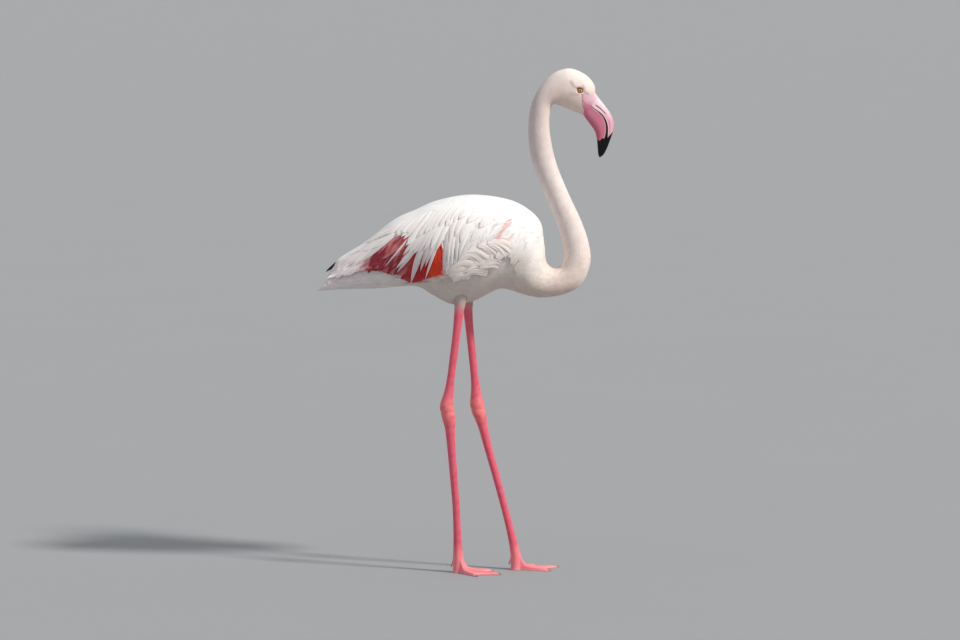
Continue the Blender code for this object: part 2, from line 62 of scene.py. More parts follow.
# Sections of the plumage from the bill's base to the tail's tip, between a back rail and a
# belly rail in the middle plane: back x, back z, belly x, belly z, half width, fullness.
bodyForm = {
    "billBase": (0.3007, 1.1269, 0.2727, 1.0755, 0.0130, 0.10),
    "brow": (0.2985, 1.1450, 0.2640, 1.0798, 0.0190, 0.14),
    "eye": (0.2845, 1.1643, 0.2540, 1.0828, 0.0236, 0.18),
    "crown": (0.2600, 1.1790, 0.2400, 1.0887, 0.0268, 0.18),
    "skullBack": (0.2340, 1.1840, 0.2260, 1.0945, 0.0272, 0.14),
    "nape": (0.2005, 1.1712, 0.2125, 1.0995, 0.0256, 0.06),
    "neckBend": (0.1705, 1.1395, 0.2030, 1.1010, 0.0243, 0.0),
    "throat": (0.1512, 1.0990, 0.1965, 1.0915, 0.0238, 0.0),
    "neckTop": (0.1452, 1.0500, 0.1937, 1.0520, 0.0233, 0.0),
    "neckHigh": (0.1474, 0.9978, 0.1995, 1.0079, 0.0236, 0.0),
    "neckMid": (0.1600, 0.9450, 0.2120, 0.9590, 0.0242, 0.0),
    "neckLow": (0.1868, 0.8820, 0.2375, 0.8960, 0.0248, 0.0),
    "neckFront": (0.2125, 0.8190, 0.2695, 0.8270, 0.0265, 0.0),
    "bendIn": (0.2252, 0.7730, 0.2867, 0.7750, 0.0290, 0.0),
    "bendFore": (0.2282, 0.7480, 0.2903, 0.7300, 0.0310, 0.0),
    "bendLow": (0.2232, 0.7270, 0.2720, 0.6835, 0.0325, 0.0),
    "bendUnder": (0.2110, 0.7180, 0.2350, 0.6590, 0.0335, 0.0),
    "chestFold": (0.1975, 0.7207, 0.1850, 0.6493, 0.0370, 0.0),
    "chest": (0.1866, 0.7350, 0.1450, 0.6535, 0.0470, 0.0),
    "breast": (0.1829, 0.7720, 0.1050, 0.6660, 0.0660, 0.05),
    "shoulder": (0.1715, 0.8260, 0.0780, 0.6700, 0.0800, 0.10),
    "withers": (0.1265, 0.8610, 0.0480, 0.6560, 0.0890, 0.14),
    "backFront": (0.0700, 0.8775, 0.0150, 0.6400, 0.0940, 0.16),
    "backMid": (0.0000, 0.8800, -0.0337, 0.6334, 0.0940, 0.16),
    "loin": (-0.0700, 0.8620, -0.0800, 0.6560, 0.0860, 0.14),
    "vent": (-0.1150, 0.8360, -0.1120, 0.6750, 0.0770, 0.12),
    "rump": (-0.1600, 0.8080, -0.1550, 0.6750, 0.0650, 0.10),
    "tailRoot": (-0.2250, 0.7620, -0.2200, 0.6705, 0.0440, 0.05),
    "tailMid": (-0.2850, 0.7270, -0.2800, 0.6692, 0.0315, 0.0),
    "tailLate": (-0.3070, 0.7120, -0.3030, 0.6680, 0.0275, 0.0),
    "tailEnd": (-0.3240, 0.6980, -0.3200, 0.6670, 0.0240, 0.0),
    "tailTip": (-0.3443, 0.6705, -0.3443, 0.6655, 0.0170, 0.0),
}
bodyTable = np.array(list(bodyForm.values()))

# How far the folded wing stands out over the body: back x, back z, side, its upper edge in
# degrees from the middle of the back, and the share of the height where its lower edge lies.
coverForm = {
    "breast": (0.0, 0.0, 0.0, 0.0, 0.97),
    "shoulder": (0.0010, 0.0022, 0.0030, 0.0, 0.80),
    "withers": (0.0010, 0.0062, 0.0080, 0.0, 0.575),
    "backFront": (0.0000, 0.0075, 0.0100, 0.0, 0.42),
    "backMid": (0.0000, 0.0095, 0.0110, 0.0, 0.23),
    "loin": (-0.0010, 0.0135, 0.0120, 0.0, 0.16),
    "vent": (-0.0040, 0.0185, 0.0120, 0.0, 0.05),
    "rump": (-0.0080, 0.0240, 0.0120, 0.0, 0.18),
    "tailRoot": (-0.0120, 0.0165, 0.0100, 0.0, 0.48),
    "tailMid": (-0.0120, 0.0145, 0.0070, 0.0, 0.62),
    "tailLate": (-0.0030, 0.0080, 0.0055, 20.0, 0.46),
    "tailEnd": (-0.0060, 0.0040, 0.0045, 30.0, 0.30),
    "tailTip": (0.0, 0.0, 0.0, 30.0, 0.30),
}
coverTable = np.array(list(coverForm.values()))

# The eyes, and the shallow hollow of the skull around each.
eyeForm = {
    "centre": (0.2655, 0.0183, 1.1332), "radius": 0.0072,
    "hollowRadius": 0.0150, "hollowOut": 0.0180,
    "openingLong": 0.0060, "openingHigh": 0.0047, "tilt": -26.0,
    "lidWide": 0.0042, "lidDeep": 0.0022, "corner": 0.16, "upperLidLow": 0.20,
    "rim": (0.0009, 0.16, 0.13), "fold": (0.0004, 0.62, 0.10),  # height, place across the lid, spread
    "coatFrom": 1.62, "partsFor": 0.0088,  # where the coat starts, and the radius it parts round
    "lidSides": 72, "lidProfile": (0.0, 0.10, 0.22, 0.36, 0.52, 0.70, 0.86, 1.0),
    "ballRings": 26, "ballSides": 48, "bulge": 0.02, "bulgeWide": 0.6,
}


def smoothRows(table, shares):
    # a row of numbers at each share of the way along the table, on a curve through every row
    at = np.clip(shares, 0.0, 1.0) * (len(table) - 1)
    left = np.minimum(at.astype(int), len(table) - 2)
    t = (at - left)[:, None]
    padded = np.vstack([2 * table[0] - table[1], table, 2 * table[-1] - table[-2]])
    before, start, end, after = (padded[left + k] for k in range(4))
    return (start * (2 * t**3 - 3 * t**2 + 1) + end * (3 * t**2 - 2 * t**3)
            + (end - before) / 2 * (t**3 - 2 * t**2 + t) + (after - start) / 2 * (t**3 - t**2))


def smoothColumn(at, knownAt, known):
    # values read between known ones, on a curve through every one of them
    slopes = np.gradient(known, knownAt)
    k = np.clip(np.searchsorted(knownAt, at) - 1, 0, len(knownAt) - 2)
    wide = knownAt[k + 1] - knownAt[k]
    t = np.clip((at - knownAt[k]) / wide, 0, 1)
    return (known[k] * (2 * t**3 - 3 * t**2 + 1) + known[k + 1] * (3 * t**2 - 2 * t**3)
            + slopes[k] * wide * (t**3 - 2 * t**2 + t) + slopes[k + 1] * wide * (t**3 - t**2))


def shareOf(name):
    return list(bodyForm).index(name) / (len(bodyForm) - 1)


def ease(x, low, high):
    # nought below low, one above high, and a smooth step between
    t = np.clip((x - low) / (high - low), 0, 1)
    return t * t * (3 - 2 * t)


def bumpAt(values, middle, wide):
    # one at the middle and falling smoothly to nought on both sides
    return np.exp(-(((values - middle) / wide) ** 2))


def unit(vectors):
    return vectors / np.maximum(np.linalg.norm(vectors, axis=-1, keepdims=True), 1e-9)


def sectionPoint(row, angle):
    # the middle between the rails plus half their gap times cos, and half width times sin
    up = np.cos(angle)
    side = np.sin(angle) * (1 + row[:, 5] * up)
    flat = (row[:, 0:2] + row[:, 2:4]) / 2 + (row[:, 0:2] - row[:, 2:4]) / 2 * up[:, None]
    return origin + np.stack([flat[:, 0], row[:, 4] * side, flat[:, 1]], axis=1)


def hollowOrbits(points):
    # points of the head inside the hollow ball beside each eye move in onto that ball
    x, y, z = (points - origin).T
    centre = eyeForm["centre"]
    apart = (x - centre[0]) ** 2 + (z - centre[2]) ** 2
    reach = np.sqrt(np.maximum(eyeForm["hollowRadius"] ** 2 - apart, 0))
    floor = centre[1] + eyeForm["hollowOut"] - reach
    deep = np.minimum(np.abs(y), floor + 0.0006)
    y = np.where((reach > 0) & (np.abs(y) > floor), np.sign(y) * deep, y)
    return origin + np.stack([x, y, z], axis=1)


def bodyRows(s):
    return smoothRows(bodyTable, s)


def bodyPoint(s, angle):
    # the plumage's outer face at a share of the way along and an angle from the back's middle
    return hollowOrbits(sectionPoint(bodyRows(s), angle))


def namedRows(names, table, s):
    # rows of a table whose stations are some of the body's own, by name
    at = [shareOf(name) for name in names]
    return smoothRows(table, np.interp(s, at, np.linspace(0, 1, len(at))))


def alongBody(s, values):
    # one number for each of some stations of the body, read straight between them
    return np.interp(s, [shareOf(name) for name in values], list(values.values()))


def coverAt(s):
    return namedRows(coverForm, coverTable, s)


def coverRows(s):
    row, cover = bodyRows(s), coverAt(s)
    row[:, 0:2] += cover[:, 0:2]
    row[:, 4] += cover[:, 2]
    return row


def coverPoint(s, angle):
    # the folded wing's outer face: the body's section with its back rail and sides let out
    return sectionPoint(coverRows(s), angle)


def lowerEdge(s):
    # the angle from the middle of the back at which the folded wing ends
    return np.arccos(np.clip(2 * coverAt(s)[:, 4] - 1, -0.97, 0.94))


def placeAt(rowsOf, first, last, x, z):
    # the share whose chord from belly to back passes through (x, z), and the angle there
    s = np.linspace(shareOf(first), shareOf(last), 900)
    row = rowsOf(s)
    reach = row[:, 0:2] - row[:, 2:4]
    offset = np.stack([x, z], axis=1)[:, None, :] - row[None, :, 2:4]
    aside = (offset[..., 0] * reach[:, 1] - offset[..., 1] * reach[:, 0]) / np.linalg.norm(reach, axis=1)
    k = np.clip(np.argmin(np.abs(aside), axis=1), 1, len(s) - 2)
    n = np.arange(len(x))
    other = np.where(aside[n, k] * aside[n, k + 1] < 0, k + 1, k - 1)
    gap = aside[n, k] - aside[n, other]
    shift = np.where(np.abs(gap) > 1e-9, aside[n, k] / np.where(np.abs(gap) > 1e-9, gap, 1), 0)
    found = s[k] + np.clip(shift, -1, 1) * (s[other] - s[k])
    row = rowsOf(found)
    reach = row[:, 0:2] - row[:, 2:4]
    up = ((np.stack([x, z], axis=1) - row[:, 2:4]) * reach).sum(1) / (reach**2).sum(1)
    return found, np.arccos(np.clip(2 * up - 1, -0.995, 0.995))


def formFrame(form, s, angle):
    # a point of a form, the unit vectors along and around it, how many metres a unit of
    # share or angle covers, and the outward normal, from small steps each way
    low, high, turn = np.clip(s - 1e-3, 0, 1), np.clip(s + 1e-3, 0, 1), 1e-2
    along = (form(high, angle) - form(low, angle)) / (high - low)[:, None]
    around = (form(s, angle + turn) - form(s, angle - turn)) / (2 * turn)
    alongRate, aroundRate = np.linalg.norm(along, axis=1), np.linalg.norm(around, axis=1)
    along, around = unit(along), unit(around)
    return form(s, angle), along, around, alongRate, aroundRate, unit(np.cross(around, along))


def sidePlace(points):
    # x and z from the origin, as seen from the bird's side
    return points[:, 0] - origin[0], points[:, 2] - origin[2]


def nearStroke(x, z, stroke):
    # how far each place lies from a bent line given as x, z corners
    best = np.full(np.shape(x), 9.0)
    for (ax, az), (bx, bz) in zip(stroke, stroke[1:]):
        long = (bx - ax) ** 2 + (bz - az) ** 2
        t = np.clip(((x - ax) * (bx - ax) + (z - az) * (bz - az)) / long, 0, 1)
        best = np.minimum(best, np.hypot(x - ax - t * (bx - ax), z - az - t * (bz - az)))
    return best


def eyeShare(x, z):
    # how far each place lies from the eye's middle, as a share of the lids' opening that way
    tilt = math.radians(eyeForm["tilt"])
    dx, dz = x - eyeForm["centre"][0], z - eyeForm["centre"][2]
    return np.hypot((dx * math.cos(tilt) + dz * math.sin(tilt)) / eyeForm["openingLong"],
                    (dz * math.cos(tilt) - dx * math.sin(tilt)) / eyeForm["openingHigh"])


# Colours.

def paint(red, green, blue):
    # a colour written from 0 to 255 as light sees it
    value = np.array([red, green, blue]) / 255
    return np.where(value <= 0.04045, value / 12.92, ((value + 0.055) / 1.055) ** 2.4)


def mottle(points, size, seed):
    # soft patches from -1 to 1: a sum of waves of about that size in many directions
    draw = np.random.default_rng(seed)
    ways = unit(draw.normal(size=(14, 3))) * (2 * np.pi / size) * draw.uniform(0.6, 1.5, (14, 1))
    return np.clip(np.sin(points @ ways.T + draw.uniform(0, 6.28, 14)).sum(1) / 4.2, -1, 1)


def mix(one, other, share):
    return one + (other - one) * np.asarray(share)[..., None]


def toneAlong(values, at, tones):
    # colours read straight between known ones
    return np.stack([np.interp(values, at, tones[:, k]) for k in range(3)], axis=1)


# Plumage colours along the body, over the back and under the belly; the greyer belly and the
# greyer back of the neck are partly painted shade.
plumage = {
    "billBase": ((248, 229, 219), (239, 217, 206)),
    "eye": ((252, 237, 227), (238, 216, 203)),
    "crown": ((253, 240, 231), (238, 214, 201)),
    "nape": ((231, 215, 209), (228, 206, 196)),
    "throat": ((214, 198, 196), (232, 214, 205)),
    "neckHigh": ((216, 201, 199), (234, 217, 210)),
    "neckLow": ((228, 213, 208), (244, 228, 221)),
    "bendIn": ((234, 218, 211), (242, 224, 215)),
    "bendUnder": ((232, 214, 205), (222, 200, 188)),
    "chest": ((246, 236, 228), (222, 204, 192)),
    "shoulder": ((252, 248, 245), (222, 206, 196)),
    "backMid": ((252, 250, 249), (216, 203, 194)),
    "vent": ((250, 246, 246), (224, 213, 207)),
    "tailRoot": ((246, 236, 238), (236, 228, 226)),
    "tailTip": ((244, 228, 230), (238, 230, 230)),
}
plumageTable = np.array([[*paint(*back), *paint(*belly)] for back, belly in plumage.values()])
bareSkin = {
    "eyeRim": paint(208, 134, 148), "lidEdge": paint(86, 44, 48), "leg": paint(228, 92, 114),
    "legDeep": paint(200, 58, 88), "hock": paint(238, 122, 124), "foot": paint(240, 130, 138),
    "web": paint(242, 150, 154), "thigh": paint(224, 150, 152),
    "hockBand": (0.385, 0.035),  # height and spread of the hock's paler pink
}
crimsons = {
    "flame": paint(236, 66, 36), "crimson": paint(190, 34, 38), "wine": paint(152, 50, 62),
    "coral": paint(232, 96, 84), "rose": paint(232, 158, 166), "lilac": paint(232, 208, 214),
    "faded": paint(212, 112, 116),
}


def plumageTint(points, s, angle):
    # the coat's colour at a place: along the body, from back to belly, the greyer side partly
    # painted shade, with soft patches
    both = namedRows(plumage, plumageTable, s)
    tint = mix(both[:, 3:6], both[:, 0:3], ease(np.cos(angle), -0.9, 0.7))
    beige = ease(s, shareOf("neckLow"), shareOf("bendLow"))
    beige = beige * (1 - ease(s, shareOf("chest"), shareOf("shoulder")))
    tint = tint * (1 + 0.035 * mottle(points, 0.030, 3) + 0.05 * beige * mottle(points, 0.011, 4))[:, None]
    x, z = sidePlace(points)
    onHead = s < shareOf("nape")
    # painted shade in the hollow and fold round each eye
    for stroke, wide, tone, strength in face["shades"]:
        tint = mix(tint, tone, strength * bumpAt(nearStroke(x, z, stroke), 0, wide) * onHead)
    return np.clip(tint, 0, 1)


# The bare face: where the feathers stop in front (z, x), the soft painted shade in the hollow
# and fold beside the eye, the fine creases of the gape as lines of x, z with a half width, with
# the painted shade in them, and its pinks, the pale one partly a painted highlight.
face = {
    "edge": ((1.0740, 0.2750), (1.0873, 0.2738), (1.0935, 0.2712), (1.1040, 0.2692), (1.1300, 0.2690)),
    "top": ((0.2690, 1.1252), (0.2780, 1.1236), (0.2863, 1.1228), (0.2930, 1.1250), (0.3010, 1.1268)),
    "shades": (
        (((0.2719, 1.1429), (0.2750, 1.1312), (0.2855, 1.1235)), 0.0036, paint(200, 118, 142), 0.60),
        (((0.2592, 1.1371), (0.2504, 1.1444), (0.2442, 1.1537)), 0.0040, paint(172, 126, 142), 0.55),
        (((0.2600, 1.1260), (0.2520, 1.1230), (0.2440, 1.1250)), 0.0040, paint(206, 170, 160), 0.35),
    ),
    "creases": (
        (((0.2700, 1.1118), (0.2728, 1.1075), (0.2762, 1.1036), (0.2810, 1.1000), (0.2850, 1.0975)), 0.00075),
        (((0.2749, 1.0985), (0.2768, 1.0950), (0.2796, 1.0915)), 0.00050),
    ),
    "pale": paint(244, 200, 210), "pink": paint(232, 146, 168), "deep": paint(212, 116, 142),
    "creaseShade": paint(184, 74, 108),
}


def bareFace(points):
    # true on the bare pink skin between the eye and the bill, below the forehead's feathers
    x, z = sidePlace(points)
    edge, top = np.array(face["edge"]), np.array(face["top"])
    return (x > np.interp(z, edge[:, 0], edge[:, 1])) & (z < np.interp(x, top[:, 0], top[:, 1])) & (z > 1.05)


def faceTint(x, z):
    # pale above and in front, partly a painted highlight, pinker along the feathers' edge, deeper
    # towards the chin
    edge = np.array(face["edge"])
    behind = np.clip((x - np.interp(z, edge[:, 0], edge[:, 1])) / 0.0045, 0, 1)
    tint = mix(face["pink"][None], face["pale"], behind * ease(z, 1.096, 1.112))
    return mix(tint, face["deep"], 0.9 * ease(-z, -1.100, -1.086))


# Mesh and material helpers.

def addField(mesh, name, values):
    # a colour, when it has four numbers a point, or a vector of three for each point
    kind, key = ("FLOAT_COLOR", "color") if values.shape[1] == 4 else ("FLOAT_VECTOR", "vector")
    mesh.attributes.new(name, kind, "POINT").data.foreach_set(key, values.astype(np.float32).ravel())


def makeMesh(name, points, faces, corners=None, smoothAngle=60.0, **fields):
    # puts whole arrays into a mesh: points, lists of faces with as many corners each, a bake
    # map of one (u, v) for each corner, and fields of colour or of three numbers a point
    mesh = bpy.data.meshes.new(name)
    sizes = np.concatenate([np.full(len(f), f.shape[1]) for f in faces])
    loops = np.concatenate([f.ravel() for f in faces]).astype(np.int32)
    mesh.vertices.add(len(points))
    mesh.vertices.foreach_set("co", points.astype(np.float32).ravel())
    mesh.loops.add(len(loops))
    mesh.loops.foreach_set("vertex_index", loops)
    mesh.polygons.add(len(sizes))
    mesh.polygons.foreach_set("loop_start", (np.cumsum(sizes) - sizes).astype(np.int32))
    if corners is not None:
        layer = mesh.uv_layers.new(name="OFBake")
        layer.data.foreach_set("uv", corners[loops].astype(np.float32).ravel())
    for fieldName, values in fields.items():
        addField(mesh, fieldName, values)
    mesh.update(calc_edges=True)
    mesh.validate()
    mesh.shade_smooth()
    mesh.set_sharp_from_angle(angle=math.radians(smoothAngle))
    return mesh


def addPiece(name, mesh, material, replaced=()):
    made = bpy.data.objects.new(name, mesh)
    bpy.context.scene.collection.objects.link(made)
    made.data.materials.append(material)
    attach(made, "root")
    if replaced:
        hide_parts(*replaced)
    print(name, len(mesh.polygons), "faces")


def colour4(tint):
    return np.concatenate([tint, np.ones((len(tint), 1))], axis=1)


def tubeFaces(rings, sides, start=0):
    # quads between the rings of a tube, in ring order, facing out when rings run clockwise
    r, c = np.meshgrid(np.arange(rings - 1), np.arange(sides), indexing="ij")
    a, b = start + r * sides + c, start + r * sides + (c + 1) % sides
    return np.stack([a, b, b + sides, a + sides], axis=-1).reshape(-1, 4)


def fanFaces(ringStart, sides, pole, flip):
    # triangles from a ring to its pole
    c = np.arange(sides)
    one, two = ringStart + c, ringStart + (c + 1) % sides
    order = (two, one) if flip else (one, two)
    return np.stack([*order, np.full(sides, pole)], axis=1)


def closedTube(rings, first=None, last=None):
    # points and faces of a tube of rings (rings, sides, 3) closed by a pole at each end, which
    # is the middle of the ring there unless it is given
    count, sides = rings.shape[:2]
    poles = [rings[k].mean(0) if pole is None else pole for k, pole in ((0, first), (-1, last))]
    points = np.vstack([rings.reshape(-1, 3), *poles])
    fans = np.vstack([
        fanFaces(0, sides, count * sides, True),
        fanFaces((count - 1) * sides, sides, count * sides + 1, False),
    ])
    return points, [tubeFaces(count, sides), fans]


def withPoles(values):
    # the two poles of a tube take the values of its first and its last point
    return np.vstack([values, values[:1], values[-1:]])


def newMaterial(name):
    material = bpy.data.materials.new(name)
    material.use_nodes = True
    tree = material.node_tree
    return material, tree, tree.nodes["Principled BSDF"]


def feed(tree, made, values):
    # each input, by name or number, takes the link of a socket or a fixed value
    for key, value in values.items():
        if isinstance(value, bpy.types.NodeSocket):
            tree.links.new(value, made.inputs[key])
        else:
            made.inputs[key].default_value = value


def node(tree, kind, values=None, **properties):
    made = tree.nodes.new(kind)
    for key, value in properties.items():
        setattr(made, key, value)
    feed(tree, made, values or {})
    return made


def math2(tree, operation, one, other):
    return node(tree, "ShaderNodeMath", {0: one, 1: other}, operation=operation).outputs[0]


def plus(tree, one, other):
    return math2(tree, "ADD", one, other)


def minus(tree, one, other):
    return math2(tree, "SUBTRACT", one, other)


def times(tree, one, other):
    return math2(tree, "MULTIPLY", one, other)


def tintField(tree):
    return node(tree, "ShaderNodeAttribute", attribute_name="tint").outputs["Color"]


def splitField(tree, name):
    # the three numbers of a vector field, each as a socket
    whole = node(tree, "ShaderNodeAttribute", attribute_name=name).outputs["Vector"]
    return node(tree, "ShaderNodeSeparateXYZ", {0: whole}).outputs


def smoothBand(tree, value, low, high):
    # nought at low, one at high, and a smooth step between
    values = {"Value": value, "From Min": low, "From Max": high}
    return node(tree, "ShaderNodeMapRange", values, interpolation_type="SMOOTHSTEP").outputs[0]


def scaled(tree, value, low, high):
    # a value from 0 to 1 spread between two numbers
    return node(tree, "ShaderNodeMapRange", {"Value": value, "To Min": low, "To Max": high}).outputs[0]


def objectPlace(tree, stretch):
    place = node(tree, "ShaderNodeTexCoord").outputs["Object"]
    return node(tree, "ShaderNodeMapping", {"Vector": place, "Scale": stretch}).outputs[0]


def noise(tree, scale, detail=3.0, rough=0.5, stretch=(1, 1, 1)):
    values = {"Vector": objectPlace(tree, stretch), "Scale": scale, "Detail": detail, "Roughness": rough}
    return node(tree, "ShaderNodeTexNoise", values).outputs["Fac"]


def shade(tree, colour, factor):
    # a colour made lighter or darker, or a vector made longer or shorter, by a factor
    return node(tree, "ShaderNodeVectorMath", {0: colour, "Scale": factor}, operation="SCALE").outputs[0]


def blendColour(tree, one, other, share):
    return node(tree, "ShaderNodeMix", {"Factor": share, 6: one, 7: other}, data_type="RGBA").outputs[2]


def bump(tree, height, strength, distance):
    values = {"Height": height, "Strength": strength, "Distance": distance}
    return node(tree, "ShaderNodeBump", values).outputs[0]


def linked(tree, kind, *given):
    # a vector node fed by sockets and fixed vectors
    made = node(tree, "ShaderNodeVectorMath", dict(enumerate(given)), operation=kind)
    return made.outputs["Value" if kind in ("LENGTH", "DOT_PRODUCT") else "Vector"]


def creaseField(tree):
    # one in the middle of the face's fine creases, nought beside them, for their painted shade:
    # the distance in x and z to each crease's straight parts, on both sides of the head alike
    place = node(tree, "ShaderNodeTexCoord").outputs["Object"]
    flat = linked(tree, "MULTIPLY", place, (1.0, 0.0, 1.0))
    found = None
    for line, half in face["creases"]:
        for (ax, az), (bx, bz) in zip(line, line[1:]):
            way = np.array([bx - ax, 0.0, bz - az])
            rel = linked(tree, "SUBTRACT", flat, (ax + origin[0], 0.0, az + origin[2]))
            along = linked(tree, "DOT_PRODUCT", rel, tuple(way / (way @ way)))
            held = node(tree, "ShaderNodeClamp", {0: along}).outputs[0]
            away = linked(tree, "LENGTH", linked(tree, "SUBTRACT", rel, shade(tree, tuple(way), held)))
            near = smoothBand(tree, away, half * 2.2, 0.0)
            found = near if found is None else math2(tree, "MAXIMUM", found, near)
    return found


def featherMaterial(name, roughness, barbs, barbDepth, shaftShade, edgeLight):
    # tint along the vane, fine slanting barbs either side of a shaft, paler edges, and soft
    # uneven patches
    material, tree, shader = newMaterial(name)
    across, along = splitField(tree, "vane")[:2]
    aside = math2(tree, "ABSOLUTE", across, 0.0)
    slant = minus(tree, along, times(tree, aside, 0.22))
    wave = math2(tree, "SINE", times(tree, slant, barbs), 0.0)
    streak = plus(tree, times(tree, wave, 0.5), 0.5)
    broken = times(tree, streak, noise(tree, 420, 2.0))
    shaft = smoothBand(tree, aside, 0.16, 0.04)
    edge = times(tree, math2(tree, "POWER", aside, 4.0), edgeLight)
    level = minus(tree, scaled(tree, broken, 0.95, 1.03), times(tree, shaft, shaftShade))
    patch = times(tree, plus(tree, level, edge), scaled(tree, noise(tree, 60, 4.0, 0.6), 0.93, 1.06))
    feed(tree, shader, {
        "Base Color": shade(tree, tintField(tree), patch), "Normal": bump(tree, broken, 0.25, barbDepth),
        "Roughness": roughness, "Specular IOR Level": 0.2, "Sheen Weight": 0.12, "Sheen Roughness": 0.5,
    })
    return material


def skinMaterial():
    # soft where the coat grows, fine wrinkled skin on the face, and small flat scales with
    # narrow furrows on the legs, drawn out along the shanks
    material, tree, shader = newMaterial("birdSkin")
    scaly, footShare, bareShare = splitField(tree, "place")
    furrows = []
    for size, stretch in ((520.0, (1.0, 1.0, 0.5)), (700.0, (1.0, 1.0, 1.0))):
        values = {"Vector": objectPlace(tree, stretch), "Scale": size, "Randomness": 0.8}
        cells = node(tree, "ShaderNodeTexVoronoi", values, feature="DISTANCE_TO_EDGE")
        furrows.append(smoothBand(tree, cells.outputs["Distance"], 0.0, 0.13))
    values = {0: footShare, 2: furrows[0], 3: furrows[1]}
    raised = times(tree, node(tree, "ShaderNodeMix", values, data_type="FLOAT").outputs[0], scaly)
    streaks = noise(tree, 90, 4.0, 0.6, (3.0, 3.0, 0.5))
    patch = times(tree, scaled(tree, streaks, 0.80, 1.20), scaled(tree, raised, 0.95, 1.02))
    # painted shade darkens the skin in the gape's creases
    crease = creaseField(tree)
    tone = shade(tree, tintField(tree), patch)
    fine = plus(tree, times(tree, raised, 0.6), times(tree, noise(tree, 800, 3.0), 0.35))
    fine = minus(tree, fine, times(tree, crease, 1.2))
    feed(tree, shader, {
        "Base Color": blendColour(tree, tone, (*face["creaseShade"], 1), times(tree, crease, 0.60)),
        "Roughness": minus(tree, 0.75, times(tree, bareShare, 0.33)),
        "Normal": bump(tree, fine, 0.22, 0.0004), "Specular IOR Level": 0.45,
    })
    return material


def billMaterial():
    # pink horn from the tint, a black tip and shutting edge where the dark field is above nought
    material, tree, shader = newMaterial("billHorn")
    blackness = splitField(tree, "place")[2]
    rag = times(tree, minus(tree, noise(tree, 300, 3.0), 0.5), 0.0012)
    edge = smoothBand(tree, plus(tree, blackness, rag), -0.00030, 0.00040)
    grain = noise(tree, 120, 5.0, 0.6, (1.0, 1.0, 0.35))
    # painted shade darkens the creases at the gape
    crease = creaseField(tree)
    horn = shade(tree, tintField(tree), scaled(tree, grain, 0.92, 1.08))
    horn = blendColour(tree, horn, (*face["creaseShade"], 1), times(tree, crease, 0.60))
    black = blendColour(tree, (0.0035, 0.003, 0.0035, 1), (0.010, 0.008, 0.009, 1), grain)
    fine = minus(tree, plus(tree, grain, noise(tree, 700, 2.0)), times(tree, crease, 2.0))
    feed(tree, shader, {
        "Base Color": blendColour(tree, horn, black, edge), "Roughness": plus(tree, 0.40, times(tree, edge, 0.08)),
        "Normal": bump(tree, fine, 0.16, 0.0004), "Specular IOR Level": 0.22,
    })
    return material


def clawMaterial():
    # dull horn between two browns
    material, tree, shader = newMaterial("clawHorn")
    grain = noise(tree, 500, 4.0, 0.6)
    horn = blendColour(tree, (*paint(112, 72, 74), 1), (*paint(168, 118, 116), 1), grain)
    feed(tree, shader, {"Base Color": horn, "Normal": bump(tree, grain, 0.25, 0.0003), "Roughness": 0.38})
    return material


def eyeMaterial():
    # pupil, streaked yellow iris with a darker rim, and a dark white of the eye, by the
    # angle from the eye's own axis, under a clear wet coat
    material, tree, shader = newMaterial("wetEye")
    fromAxis, around = splitField(tree, "place")[:2]
    ray = node(tree, "ShaderNodeCombineXYZ", {0: around}).outputs[0]
    rays = node(tree, "ShaderNodeTexNoise", {"Vector": ray, "Scale": 9.0, "Detail": 4.0, "Roughness": 0.6})
    ramp = node(tree, "ShaderNodeValToRGB", {0: fromAxis})
    stops = (
        (0.0, (0.004, 0.003, 0.003, 1)), (0.078, (0.004, 0.003, 0.003, 1)), (0.090, (0.50, 0.22, 0.02, 1)),
        (0.130, (0.86, 0.50, 0.06, 1)), (0.215, (0.80, 0.42, 0.04, 1)), (0.250, (0.34, 0.13, 0.02, 1)),
        (0.275, (0.030, 0.012, 0.010, 1)),
    )
    while len(ramp.color_ramp.elements) < len(stops):
        ramp.color_ramp.elements.new(0.5)
    for element, (position, value) in zip(ramp.color_ramp.elements, stops):
        element.position, element.color = position, value
    feed(tree, shader, {
        "Base Color": shade(tree, ramp.outputs[0], scaled(tree, rays.outputs["Fac"], 0.75, 1.25)),
        "Roughness": 0.30, "Specular IOR Level": 0.2, "Coat Weight": 0.7, "Coat Roughness": 0.02,
    })
    return material


materials = {
    "skin": skinMaterial(),
    "down": featherMaterial("softDown", 0.85, 50.0, 0.00015, 0.0, 0.0),
    "feather": featherMaterial("whiteFeather", 0.62, 150.0, 0.00025, 0.05, 0.05),
    "flight": featherMaterial("flightFeather", 0.42, 220.0, 0.00025, -0.02, 0.0),
    "bill": billMaterial(), "claw": clawMaterial(), "eye": eyeMaterial(),
}


# Vanes.

# Cross sections of a vane: how far aside each point lies, and whether it is on top (1),
# on the edge (0) or below (-1).
vaneSections = {
    "small": ((-1, 0), (0, 1), (1, 0), (0, -1)),
    "broad": ((-1, 0), (-0.55, 1), (0, 1.5), (0.55, 1), (1, 0), (0, -1)),
}
# Half the breadth and the length of each vane's patch on the bake map, and the angle from
# which its edges are shaded sharp.
vanePatch = {"half": 0.0014, "long": 0.0028, "sharp": 62.0}


